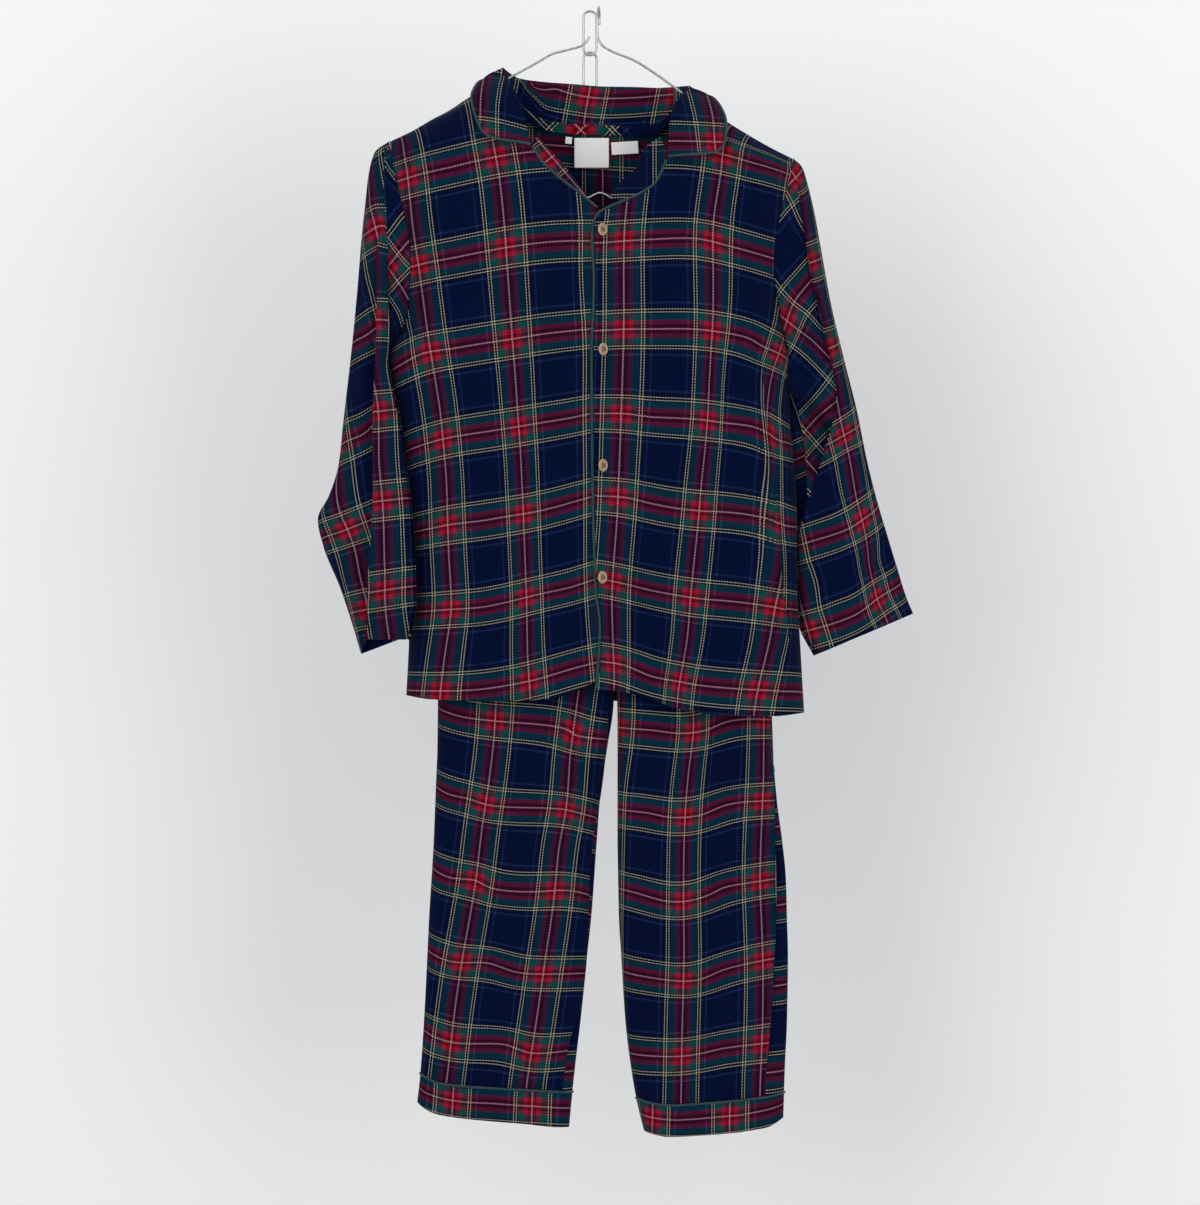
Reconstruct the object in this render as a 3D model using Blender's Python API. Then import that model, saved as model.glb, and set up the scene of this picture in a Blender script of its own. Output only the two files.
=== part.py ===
"""Pyjama set on a wire hanger: check jacket with collar and buttons, straight trousers below it.

Everything is in one frame: X across the front, -Y the front, +Z up, origin at the top of the hook.
The cloth pieces are cut and joined as a maker would: each panel, sleeve, collar, leg and cuff is a
sheet with its own wall, 0.3 mm or more from its neighbour at the seam.
"""
import bpy
import numpy as np

MM = 0.001

# ---------------------------------------------------------------- driving sizes, millimetres
WALL = 1.5                 # cloth wall of the panels
SEAM = 0.3                 # space left between two pieces at a seam
SIDE_ROUND = 34.0          # how far in from the side fold a body panel is still turning
SHOULDER_ROUND = 46.0      # the same, down from the shoulder line
LAP_LIFT = 2.6             # right front stands proud of the left front where it laps over
LAP_FROM, LAP_TO = 46.0, 16.0
PIPING_RADIUS = 1.1
ARMHOLE_STEP = 1.9         # sleeve starts this far outside the armhole edge
BUTTON_DIAMETER = 12.0
BUTTON_THICK = 2.4
WIRE_RADIUS = 1.4
LEG_ROUND = 16.0           # edge turning of a hanging leg
LEG_GAP = 0.2              # half the space between the two layers at a leg's fold
CROTCH_Z = -560.0
WAIST_TOP = -282.0
WAIST_LOW = -312.0

# Shoulder line of the jacket from left tip to right tip.
#            x       z
SHOULDER = [(-200.0, -131.0), (-177.0, -120.0), (-160.0, -110.0), (-143.0, -101.0),
            (-128.0, -91.0), (-112.0, -81.0), (-98.0, -72.0), (-50.0, -70.0), (0.0, -72.0),
            (50.0, -78.0), (86.0, -86.0), (102.0, -98.0), (118.0, -110.0), (132.0, -119.0),
            (147.0, -128.0), (165.0, -138.0), (183.0, -147.0)]

# Left edge of the body: armhole down to the underarm, then the side seam down to the hem.
#              z       x      gape (half depth of the open armhole)
SIDE_LEFT = [(-131.0, -200.0, 0.5), (-146.0, -197.5, 12.0), (-164.0, -194.0, 18.0),
             (-182.0, -189.5, 22.0), (-198.0, -185.5, 24.0), (-219.0, -181.0, 25.0),
             (-237.0, -179.0, 25.0), (-266.0, -179.5, 23.0), (-292.0, -181.5, 18.0),
             (-312.0, -186.0, 10.0), (-325.0, -191.0, 0.0), (-347.0, -191.0, 0.0),
             (-393.0, -187.0, 0.0), (-444.0, -185.0, 0.0), (-519.0, -183.0, 0.0),
             (-598.0, -181.5, 0.0), (-657.0, -184.0, 0.0)]
SIDE_RIGHT = [(-147.0, 183.0, 0.5), (-160.0, 181.0, 12.0), (-172.0, 178.0, 17.0),
              (-190.0, 173.0, 21.0), (-207.0, 169.0, 23.0), (-241.0, 164.5, 25.0),
              (-259.0, 164.5, 23.0), (-281.0, 168.0, 18.0), (-310.0, 173.0, 11.0),
              (-329.0, 179.0, 4.0), (-339.0, 181.0, 0.0), (-384.0, 180.0, 0.0),
              (-414.0, 182.0, 0.0), (-471.0, 187.0, 0.0), (-528.0, 187.5, 0.0),
              (-566.0, 188.0, 0.0), (-604.0, 190.0, 0.0), (-674.0, 194.0, 0.0)]

# Distances from the side fold, and places of the other columns of each panel at its top edge.
EDGE_STEPS = [0.0, 1.0, 4.0, 10.0, 20.0, SIDE_ROUND]
TOP_STEPS = [0.0, 1.2, 5.0, 13.0, 27.0]       # distances of the first rows below the top edge
FLAT_LEFT, FLAT_RIGHT = -166.0, 149.0         # where the flat of the panels starts at the top
LEFT_COLUMNS = [-132.0, -98.0, -87.0, -76.0, -67.6, -50.0, -28.0, -8.0, 14.0]
RIGHT_COLUMNS = [118.0, 86.0, 79.0, 71.0, 65.5, 57.0, 40.0, 18.0, -4.5]
MIDDLE_TOP, MIDDLE_LOW = -130.0, -655.0       # mean heights of the top edge and the hem
BACK_COLUMNS = [-132.0, -98.0, -87.0, -74.0, -52.0, -22.0, 8.0, 38.0, 60.0, 74.0, 86.0, 118.0]

# How deep the body hangs in front of and behind the shoulder line.
#                z     front  back
BODY_DEPTH = [(-60.0, 30.0, 24.0), (-120.0, 33.0, 27.0), (-200.0, 36.0, 28.0),
              (-320.0, 36.0, 27.0), (-480.0, 34.0, 25.0), (-600.0, 32.0, 24.0),
              (-680.0, 31.0, 24.0)]

# Large soft folds: x and z where each starts and ends, its half width, and its height
# (ridge above 0, trough below), on the front and back of the jacket and the front of each leg.
#                x0      z0       x1      z1     wide  high
FRONT_FOLDS = [(128.0, -262.0, 154.0, -335.0, 15.0, -3.5),
               (154.0, -325.0, 176.0, -600.0, 13.0, -5.0),
               (-168.0, -360.0, -166.0, -520.0, 13.0, -4.0),
               (-60.0, -430.0, -78.0, -655.0, 24.0, 2.5),
               (58.0, -470.0, 70.0, -665.0, 24.0, 2.5)]
BACK_FOLDS = [(-60.0, -190.0, -84.0, -655.0, 26.0, 3.5), (52.0, -210.0, 66.0, -655.0, 26.0, 3.0),
              (-140.0, -330.0, -150.0, -640.0, 16.0, -3.5),
              (138.0, -350.0, 150.0, -650.0, 16.0, -3.5)]
LEG_FOLDS = {-1: [(-125.0, -640.0, -150.0, -1035.0, 17.0, -3.5),
                  (-60.0, -620.0, -72.0, -1020.0, 22.0, 2.5),
                  (4.0, -700.0, -34.0, -1030.0, 7.0, -4.0)],
             1: [(104.0, -640.0, 102.0, -1030.0, 18.0, -4.0),
                 (60.0, -640.0, 66.0, -1040.0, 20.0, 2.5),
                 (160.0, -700.0, 166.0, -1030.0, 7.0, -4.0)]}

# Top edges of the panels between the shoulder seams (neck seam, then the free piped edge).
#             x       z
NECK_LEFT = [(-98.0, -72.0), (-94.0, -82.0), (-86.0, -99.0), (-76.0, -118.0), (-67.6, -134.5),
             (-59.0, -149.0), (-43.5, -165.5), (-28.0, -177.5), (-18.0, -185.0),
             (-3.0, -197.0), (14.0, -204.0)]
NECK_RIGHT = [(-4.5, -209.5), (-1.0, -203.0), (3.0, -200.0), (22.5, -191.4), (41.8, -182.0),
              (53.5, -173.5), (61.3, -158.5), (65.8, -146.0), (69.0, -131.0), (75.0, -112.0),
              (82.0, -95.0), (86.0, -86.0)]
NECK_BACK = [(-98.0, -72.0), (-88.0, -90.0), (-76.0, -103.0), (-60.0, -113.5), (-30.0, -119.0),
             (0.0, -120.0), (35.0, -121.5), (54.0, -120.0), (68.0, -111.0), (79.0, -98.0),
             (86.0, -86.0)]

# Hems, in front and behind.
#             x       z
HEM_LEFT = [(-184.0, -656.5), (-161.0, -660.0), (-100.0, -662.0), (-50.0, -660.0),
            (-27.0, -654.5), (-3.0, -643.0), (14.0, -640.0)]
HEM_RIGHT = [(-3.0, -651.0), (4.0, -651.0), (34.0, -656.0), (72.0, -668.0), (115.0, -675.0),
             (163.0, -676.0), (194.0, -673.0)]
HEM_BACK = [(-184.0, -656.5), (-100.0, -660.0), (0.0, -662.0), (100.0, -668.0), (194.0, -673.0)]

# Free front edge of the right front.
#              z       x
EDGE_RIGHT = [(-209.5, -4.5), (-226.0, -5.7), (-265.0, -4.0), (-340.0, -6.3), (-440.0, -5.5),
              (-510.0, -4.2), (-560.0, -1.9), (-590.0, 1.5), (-651.0, -1.5)]
EDGE_LEFT_X = 14.0

# Collar, from the left notch round the back of the neck to the right notch.
# seam = neck seam, roll = top of the fold, edge = outer edge of the leaf (all x, y, z)
COLLAR = [
    # seam                     roll                       edge
    ((-67.5, -33.5, -133.0), (-65.5, -39.0, -130.0), (-104.0, -43.0, -126.5)),
    ((-71.5, -31.0, -127.0), (-67.5, -38.0, -125.0), (-111.0, -42.0, -119.0)),
    ((-76.0, -28.0, -117.5), (-69.5, -34.0, -115.0), (-115.5, -39.0, -109.0)),
    ((-86.0, -18.5, -99.0), (-74.5, -25.0, -98.0), (-120.5, -31.0, -92.0)),
    ((-94.0, -8.0, -82.5), (-83.0, -13.0, -79.0), (-117.5, -16.0, -80.0)),
    ((-97.5, 0.5, -72.5), (-91.0, 0.0, -60.5), (-109.0, 6.0, -70.5)),
    ((-87.0, 13.0, -90.0), (-76.0, 14.0, -69.5), (-92.0, 27.0, -88.0)),
    ((-60.0, 21.5, -112.0), (-53.0, 23.0, -72.0), (-60.0, 37.0, -107.0)),
    ((-30.0, 24.5, -117.5), (-26.0, 28.0, -73.5), (-30.0, 41.0, -114.0)),
    ((0.0, 25.5, -118.5), (0.0, 30.0, -75.5), (0.0, 42.5, -117.0)),
    ((35.0, 24.5, -120.0), (37.0, 27.5, -76.5), (40.0, 40.5, -118.0)),
    ((55.0, 20.5, -118.0), (58.0, 19.0, -78.0), (70.0, 33.0, -110.0)),
    ((79.0, 11.5, -96.5), (76.0, 10.0, -77.5), (90.0, 22.0, -93.0)),
    ((85.5, 0.5, -86.5), (84.0, 0.5, -78.0), (102.0, 6.0, -86.0)),
    ((81.5, -8.0, -95.0), (76.0, -11.0, -88.0), (112.5, -12.0, -97.0)),
    ((75.0, -18.0, -112.0), (68.0, -22.0, -103.0), (119.0, -30.0, -112.0)),
    ((69.5, -27.0, -128.0), (64.5, -31.0, -122.0), (118.5, -40.0, -128.0)),
    ((67.5, -31.0, -138.0), (64.2, -36.0, -134.0), (115.5, -42.0, -136.0)),
    ((66.5, -33.0, -144.0), (64.0, -38.0, -141.0), (109.0, -43.0, -141.0)),
]
NECK_CENTRE = (-4.0, -4.0)
NECK_WIDE, NECK_DEEP = 85.0, 34.0             # half sizes of the neck's oval

# Sleeves: outer (top of arm) line and inner (underarm) line, then the section's depth in front of
# and behind the line between them, and how deep the long fold down the front is.
#                 ox      oy     oz       ix      iy     iz     front back  fold
SLEEVE_LEFT = [
    (-200.5, 0.0, -130.5, -191.5, 0.0, -324.5, 25.0, 25.0, 0.0),
    (-214.0, 0.0, -141.0, -194.0, -1.0, -330.0, 26.0, 25.0, 0.0),
    (-220.0, 0.0, -163.0, -197.5, -5.0, -337.0, 24.0, 24.0, 0.2),
    (-223.0, 0.0, -190.0, -199.0, -10.0, -346.0, 21.0, 22.0, 0.5),
    (-226.5, 0.0, -222.0, -196.5, -17.0, -362.0, 18.0, 20.0, 0.9),
    (-230.5, 0.0, -271.0, -190.0, -27.0, -387.0, 15.0, 18.0, 1.0),
    (-236.0, 0.0, -328.0, -186.0, -32.0, -418.0, 14.0, 16.0, 1.0),
    (-243.5, 0.0, -393.0, -181.0, -36.0, -455.0, 13.0, 14.0, 1.0),
    (-248.5, 0.0, -438.0, -178.0, -38.0, -480.0, 13.0, 13.0, 1.0),
    (-257.0, -2.0, -466.0, -176.0, -39.0, -499.0, 13.0, 13.0, 1.0),
    (-268.0, -3.0, -490.0, -174.5, -40.0, -519.0, 13.0, 13.0, 1.0),
    (-262.5, -3.0, -516.0, -174.0, -40.0, -540.0, 13.0, 13.0, 1.0),
    (-247.0, -2.0, -554.0, -173.5, -40.0, -565.0, 13.0, 13.0, 1.0),
    (-236.0, -1.0, -587.0, -176.0, -39.0, -584.0, 13.0, 13.0, 1.0),
    (-227.0, 0.0, -617.5, -180.5, -38.0, -600.0, 13.0, 13.0, 1.0),
]
SLEEVE_RIGHT = [
    (183.5, 0.0, -146.5, 181.5, 0.0, -338.5, 25.0, 25.0, 0.0),
    (192.0, 0.0, -155.0, 185.0, -1.0, -346.0, 26.0, 25.0, 0.2),
    (197.0, 0.0, -170.0, 188.0, -3.0, -355.0, 25.0, 24.0, 0.5),
    (203.0, 0.0, -195.0, 191.0, -5.0, -366.0, 23.0, 22.0, 0.8),
    (209.5, 0.0, -230.0, 193.5, -7.0, -385.0, 21.0, 20.0, 1.0),
    (219.5, 0.0, -285.0, 194.5, -9.0, -410.0, 19.0, 18.0, 1.0),
    (232.0, 0.0, -338.0, 195.5, -11.0, -437.0, 18.0, 17.0, 0.9),
    (244.0, 0.0, -386.0, 196.5, -13.0, -462.0, 17.0, 16.0, 0.6),
    (253.5, 0.0, -433.0, 197.5, -14.0, -487.0, 16.0, 15.0, 0.3),
    (263.0, 0.0, -471.0, 198.5, -14.0, -512.0, 15.0, 14.0, 0.0),
    (273.0, 0.0, -505.0, 198.0, -13.0, -538.0, 14.0, 13.0, 0.0),
    (283.0, 0.0, -538.0, 196.0, -12.0, -568.0, 13.0, 12.0, 0.0),
    (290.5, 0.0, -562.0, 196.0, -11.0, -590.0, 12.0, 12.0, 0.0),
    (297.5, 0.0, -579.0, 205.0, -10.0, -619.0, 12.0, 12.0, 0.0),
]
SLEEVE_FOLD_AT = 0.56      # along the front of the left sleeve, outer edge = 0
SLEEVE_FOLD_DEEP = 9.0
SLEEVE_RIDGE_AT = 0.30     # along the front of the right sleeve

# Trousers: outer and inner line of each leg.
#                z       outer   inner   front  back
LEG_LEFT = [(-312.6, -138.0, 12.0, 5.0, 5.0), (-345.0, -146.0, 12.0, 8.0, 8.0),
            (-420.0, -150.0, 12.0, 11.0, 11.0), (-560.0, -153.0, 12.0, 13.0, 12.0),
            (-661.0, -154.0, 13.0, 14.0, 12.0), (-706.0, -154.5, 7.0, 15.0, 12.0),
            (-744.0, -156.0, 1.0, 15.0, 12.0), (-795.0, -158.0, -3.0, 15.0, 12.0),
            (-870.0, -162.5, -8.5, 14.0, 12.0), (-902.0, -164.0, -12.0, 14.0, 12.0),
            (-953.0, -166.5, -17.0, 14.0, 12.0), (-1019.0, -171.0, -24.7, 14.0, 12.0),
            (-1068.0, -177.0, -29.5, 14.0, 12.0)]
LEG_RIGHT = [(-312.6, 150.0, 12.6, 5.0, 5.0), (-345.0, 158.0, 12.6, 8.0, 8.0),
             (-420.0, 160.0, 12.6, 11.0, 11.0), (-560.0, 161.0, 12.6, 13.0, 12.0),
             (-680.0, 162.5, 16.6, 14.0, 12.0), (-756.0, 168.0, 16.6, 15.0, 12.0),
             (-794.0, 173.0, 16.6, 15.0, 12.0), (-832.0, 176.7, 17.2, 15.0, 12.0),
             (-870.0, 177.7, 18.0, 14.0, 12.0), (-902.0, 178.6, 20.0, 14.0, 12.0),
             (-965.0, 177.7, 24.0, 14.0, 12.0), (-1014.0, 175.5, 30.0, 14.0, 12.0),
             (-1047.0, 174.5, 36.0, 14.0, 12.0), (-1075.0, 173.5, 43.0, 14.0, 12.0)]
# Seam above the cuff and bottom of the cuff, across the leg.
#               x       seam      bottom
CUFF_LEFT = [(-174.0, -1013.5, -1042.5), (-166.0, -1018.0, -1048.5), (-152.5, -1024.0, -1054.0),
             (-105.5, -1028.5, -1060.0), (-68.0, -1030.5, -1063.0), (-47.0, -1031.7, -1065.5),
             (-27.0, -1033.0, -1066.5)]
CUFF_RIGHT = [(35.0, -1039.0, -1068.0), (46.0, -1042.0, -1071.5), (64.6, -1045.0, -1075.0),
              (105.5, -1042.5, -1073.0), (140.6, -1039.5, -1069.5), (158.0, -1037.0, -1066.0),
              (174.0, -1033.5, -1057.5)]

# Elastic waistband from its top edge to the seam.
#               z         half width  half depth
WAISTBAND = [(WAIST_TOP, 141.0, 4.2), (-290.0, 142.2, 4.6), (-300.0, 142.8, 4.8),
             (WAIST_LOW, 144.0, 5.2)]
WAIST_MIDDLE = 6.0

BUTTONS = [(2.4, -214.2), (3.1, -327.8), (2.9, -438.0), (2.3, -544.4)]
BUTTON_TURN = 20.0         # degrees about the upright, as the lap turns

# Hanger wire in one run: left arm, bottom bar, right arm and the hook (x, y, z).
HANGER_PATH = [(-9.8, 0.0, -31.0), (-12.5, 0.0, -35.5), (-18.0, 0.0, -39.9), (-30.0, 0.0, -43.4),
            (-44.2, 0.0, -47.1), (-62.0, 0.0, -57.0), (-85.0, 0.0, -69.6), (-98.0, 0.0, -77.6),
            (-113.0, 0.0, -88.0), (-128.0, 0.0, -97.5), (-145.0, 0.0, -107.5),
            (-162.0, 0.0, -117.5), (-177.0, 0.0, -126.5), (-185.0, 0.0, -133.5),
            (-188.0, 0.0, -142.0), (-186.0, 0.0, -151.0), (-178.0, 0.0, -158.0),
            (-150.0, 0.0, -163.0), (-80.0, 0.0, -174.0), (-12.5, 0.0, -184.0),
            (-6.0, 0.0, -181.5), (0.0, 0.0, -179.6), (6.0, 0.0, -181.5), (12.5, 0.0, -184.5),
            (80.0, 0.0, -179.5), (140.0, 0.0, -174.0), (164.0, 0.0, -170.5),
            (172.0, 0.0, -163.5), (173.0, 0.0, -155.0), (167.0, 0.0, -148.0),
            (150.0, 0.0, -137.0), (132.0, 0.0, -126.0), (116.0, 0.0, -115.5),
            (100.0, 0.0, -102.5), (86.0, 0.0, -91.0), (74.0, 0.0, -81.7), (53.0, 0.0, -66.5),
            (31.0, 0.0, -52.9), (11.0, 0.0, -44.9), (1.0, 0.0, -38.0), (-2.5, 0.0, -28.0),
            (-2.6, 0.0, -14.0), (-1.6, 4.5, -4.0), (-1.0, 12.0, -1.4), (-0.6, 19.5, -4.2),
            (-0.4, 24.0, -11.0), (-0.4, 24.6, -17.0)]


# Chain behind the hook, seen from the front as one line: name, y, top z, lowest z.
CHAIN = [("chain_link_upper", 30.0, -3.5, -45.5), ("chain_link_lower", 44.0, -41.5, -112.0)]
CHAIN_X = -9.6
LINK_HALF = 6.2
LINK_RADIUS = 0.9

# Plain trouser hanger inside the jacket: its hook, its bar, and two bent clips on the waistband.
TROUSER_HOOK = [(0.0, -4.4, -186.5), (0.0, -4.4, -181.0), (0.0, -2.4, -176.5), (0.0, 0.6, -175.4),
                (0.0, 3.8, -178.0), (0.0, 4.6, -184.0), (0.0, 3.0, -192.0), (0.0, 0.5, -202.0),
                (0.0, 0.0, -214.0), (0.0, 0.0, -258.0)]
TROUSER_BAR = [(-120.0, 0.0, -262.0), (0.0, 0.0, -262.0), (132.0, 0.0, -262.0)]
CLIPS = [("clip_left", -92.0), ("clip_right", 104.0)]
CLIP_HALF = 9.0
#                 y     z
CLIP_PROFILE = [(-7.4, -266.5), (7.4, -266.5), (7.4, -296.0), (6.0, -296.0), (6.0, -269.0),
                (-6.0, -269.0), (-6.0, -296.0), (-7.4, -296.0)]


def curve(rows, at, column=1, key=0):
    """Smooth reading of one column of a table, never past the values of its neighbours."""
    rows = sorted(rows, key=lambda row: row[key])
    k = np.array([row[key] for row in rows], float)
    v = np.array([row[column] for row in rows], float)
    at = np.clip(np.asarray(at, float), k[0], k[-1])
    step = np.diff(k)
    slope = np.diff(v) / step
    tangent = np.zeros_like(v)
    same = slope[:-1] * slope[1:] > 0
    w1 = 2 * step[1:] + step[:-1]
    w2 = step[1:] + 2 * step[:-1]
    safe0 = np.where(same, slope[:-1], 1.0)
    safe1 = np.where(same, slope[1:], 1.0)
    tangent[1:-1] = np.where(same, (w1 + w2) / (w1 / safe0 + w2 / safe1), 0.0)
    tangent[0] = slope[0]
    tangent[-1] = slope[-1]
    i = np.clip(np.searchsorted(k, at, side="right") - 1, 0, len(k) - 2)
    t = (at - k[i]) / step[i]
    a = (1 + 2 * t) * (1 - t) ** 2
    b = t * (1 - t) ** 2
    c = t * t * (3 - 2 * t)
    d = t * t * (t - 1)
    return a * v[i] + b * step[i] * tangent[i] + c * v[i + 1] + d * step[i] * tangent[i + 1]


def ramp(t):
    """0 before 0, 1 after 1, smooth between."""
    t = np.clip(t, 0.0, 1.0)
    return t * t * (3 - 2 * t)


def turn_in(t):
    """Quarter round: 0 at a fold, 1 once t reaches 1."""
    t = np.clip(t, 0.0, 1.0)
    return np.sqrt(np.clip(1 - (1 - t) ** 2, 0.0, 1.0))


def side_turn(t, gape):
    """Round turning where the side is closed, a flat lean where it opens into a sleeve."""
    opened = np.clip(3 * gape, 0.0, 1.0)
    flat = 1 - (1 - np.clip(t, 0.0, 1.0)) ** 2
    return gape + (1 - gape) * (opened * flat + (1 - opened) * turn_in(t))


# ---------------------------------------------------------------- body of the jacket
def folds(rows, x, z):
    """Sum of the long folds at a place, each fading out toward its two ends."""
    total = 0.0
    for x0, z0, x1, z1, wide, high in rows:
        along = np.clip((z - z0) / (z1 - z0), 0.0, 1.0)
        middle = x0 + (x1 - x0) * along
        total = total + high * np.sin(np.pi * along) ** 0.5 * np.exp(-((x - middle) / wide) ** 2)
    return total


def body_depth(x, z, column):
    """Distance of the front (column 1) or back (column 2) from the shoulder plane."""
    deep = curve(BODY_DEPTH, z, column)
    left = curve(SIDE_LEFT, z)
    right = curve(SIDE_RIGHT, z)
    gape_left = curve(SIDE_LEFT, z, 2) / deep
    gape_right = curve(SIDE_RIGHT, z, 2) / deep
    side_left = side_turn((x - left) / SIDE_ROUND, gape_left)
    side_right = side_turn((right - x) / SIDE_ROUND, gape_right)
    top = turn_in((curve(SHOULDER, x) - z) / SHOULDER_ROUND)
    rows = FRONT_FOLDS if column == 1 else BACK_FOLDS
    return (deep + folds(rows, x, z)) * side_left * side_right * top


def front_y(x, z):
    return -body_depth(x, z, 1) - SEAM / 2


def back_y(x, z):
    return body_depth(x, z, 2) + SEAM / 2


def lap(x):
    return LAP_LIFT * ramp((LAP_FROM - x) / (LAP_FROM - LAP_TO))


def across_at(start, end, targets):
    """Columns of a panel: close together at the turning edge, then at the given places."""
    pairs = [(step, 0.0) for step in EDGE_STEPS]
    return pairs + [(SIDE_ROUND, (x - start) / (end - start)) for x in targets]


def panel(x_of, top_z, hem_z, y_of, cells, rows):
    """Grid of a body panel: columns run down from the top edge, rows run across.

    x_of says where a column is at a height, top_z and hem_z how high the edges are at a place.
    """
    rest = rows - len(TOP_STEPS)
    lines = [(step, 0.0) for step in TOP_STEPS]
    lines += [(TOP_STEPS[-1], (i + 1) / rest) for i in range(rest)]
    grid = np.zeros((rows, len(cells), 3))
    for j, cell in enumerate(cells):
        z_top, z_low = MIDDLE_TOP, MIDDLE_LOW
        for _ in range(14):
            z_top = 0.4 * z_top + 0.6 * float(top_z(x_of(cell, z_top)))
            z_low = 0.4 * z_low + 0.6 * float(hem_z(x_of(cell, z_low)))
        for i, (down, part) in enumerate(lines):
            z = z_top - down - part * (z_top - TOP_STEPS[-1] - z_low)
            x = x_of(cell, z)
            grid[i, j] = (x, float(y_of(x, z)), z)
    return grid


def left_front_at(cell, z):
    """Column of the left front: steps from the side fold, then shares of the way to the edge."""
    near, far = cell
    start = float(left_x(z))
    return start + near + far * (EDGE_LEFT_X - start - SIDE_ROUND)


def right_front_at(cell, z):
    near, far = cell
    start = float(right_x(z))
    return start - near - far * (start - float(edge_right(z)) - SIDE_ROUND)


def back_at(cell, z):
    """Column of the back: steps from either side fold, and shares of the flat between them."""
    near, far, from_right = cell
    low, high = float(left_x(z)), float(right_x(z))
    if from_right:
        return high - near
    return low + near + far * (high - low - 2 * SIDE_ROUND)


def back_cells():
    cells = [(step, 0.0, False) for step in EDGE_STEPS]
    span = FLAT_RIGHT - FLAT_LEFT
    cells += [(SIDE_ROUND, (x - FLAT_LEFT) / span, False) for x in BACK_COLUMNS]
    return cells + [(step, 0.0, True) for step in reversed(EDGE_STEPS)]


def left_x(z):
    return curve(SIDE_LEFT, z)


def right_x(z):
    return curve(SIDE_RIGHT, z)


def top_left(x):
    return curve(SHOULDER, x) if x <= -98.0 else curve(NECK_LEFT, x)


def top_right(x):
    return curve(SHOULDER, x) if x >= 86.0 else curve(NECK_RIGHT, x)


def top_back(x):
    return curve(SHOULDER, x) if (x <= -98.0 or x >= 86.0) else curve(NECK_BACK, x)


def hem_left(x):
    return curve(HEM_LEFT, x)


def hem_right(x):
    return curve(HEM_RIGHT, x)


def hem_back(x):
    return curve(HEM_BACK, x)


def edge_right(z):
    return curve(EDGE_RIGHT, z)


def right_front_y(x, z):
    return front_y(x, z) - lap(x)


# ---------------------------------------------------------------- meshes
def grid_normals(grid, wrap):
    if wrap:
        across = np.roll(grid, -1, axis=1) - np.roll(grid, 1, axis=1)
    else:
        across = np.gradient(grid, axis=1)
    down = np.gradient(grid, axis=0)
    normal = np.cross(across, down)
    size = np.linalg.norm(normal, axis=2, keepdims=True)
    return normal / np.maximum(size, 1e-9)


def material(name, rgb, roughness, metallic=0.0):
    mat = bpy.data.materials.new(name)
    mat.use_nodes = True
    shader = mat.node_tree.nodes["Principled BSDF"]
    shader.inputs["Base Color"].default_value = (*rgb, 1.0)
    shader.inputs["Roughness"].default_value = roughness
    shader.inputs["Metallic"].default_value = metallic
    mat.diffuse_color = (*rgb, 1.0)
    return mat


def add_mesh(name, points, faces, mat):
    """One closed solid from points in millimetres, faces turned outward."""
    pts = np.asarray(points, float) * MM
    volume = 0.0
    for face in faces:
        for k in range(1, len(face) - 1):
            volume += np.dot(pts[face[0]], np.cross(pts[face[k]], pts[face[k + 1]]))
    if volume < 0:
        faces = [tuple(reversed(face)) for face in faces]
    mesh = bpy.data.meshes.new(name)
    mesh.from_pydata([tuple(p) for p in pts], [], faces)
    mesh.validate()
    mesh.update()
    obj = bpy.data.objects.new(name, mesh)
    bpy.context.scene.collection.objects.link(obj)
    obj.data.materials.append(mat)
    return obj


def sheet(name, grid, mat, wall=WALL, wrap=False, seam_plane=False, toward="centre"):
    """Solid from a grid: the grid is the outer face, the wall goes in along the normals.

    toward says where the wall lies: the shoulder "plane", the "centre" of each row, or "back".
    """
    normal = grid_normals(grid, wrap)
    if toward == "plane":
        aim = grid * (0.0, -1.0, 0.0)
    elif toward == "back":
        aim = np.zeros_like(grid) + (0.0, 1.0, 0.0)
    else:
        aim = grid.mean(axis=1, keepdims=True) - grid
    if np.sum(normal * aim) > 0:
        normal = -normal
    if seam_plane:
        flat = np.abs(grid[:, :, 1]) < 0.6
        normal[flat, 1] = 0.0
        size = np.linalg.norm(normal, axis=2, keepdims=True)
        normal = normal / np.maximum(size, 1e-9)
    inner = grid - normal * wall
    rows, cols, _ = grid.shape
    points = np.concatenate([grid.reshape(-1, 3), inner.reshape(-1, 3)])
    shift = rows * cols
    faces = []
    last = cols if wrap else cols - 1
    for i in range(rows - 1):
        for j in range(last):
            k = (j + 1) % cols
            a, b = i * cols + j, i * cols + k
            c, d = (i + 1) * cols + k, (i + 1) * cols + j
            faces += [(a, b, c), (a, c, d)]
            faces += [(shift + a, shift + c, shift + b), (shift + a, shift + d, shift + c)]
    for j in range(last):
        k = (j + 1) % cols
        a, b = j, k
        c, d = (rows - 1) * cols + j, (rows - 1) * cols + k
        faces += [(b, a, shift + a), (b, shift + a, shift + b)]
        faces += [(c, d, shift + d), (c, shift + d, shift + c)]
    if not wrap:
        for i in range(rows - 1):
            a, b = i * cols, (i + 1) * cols
            c, d = i * cols + cols - 1, (i + 1) * cols + cols - 1
            faces += [(a, b, shift + b), (a, shift + b, shift + a)]
            faces += [(d, c, shift + c), (d, shift + c, shift + d)]
    return add_mesh(name, points, faces, mat)


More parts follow.
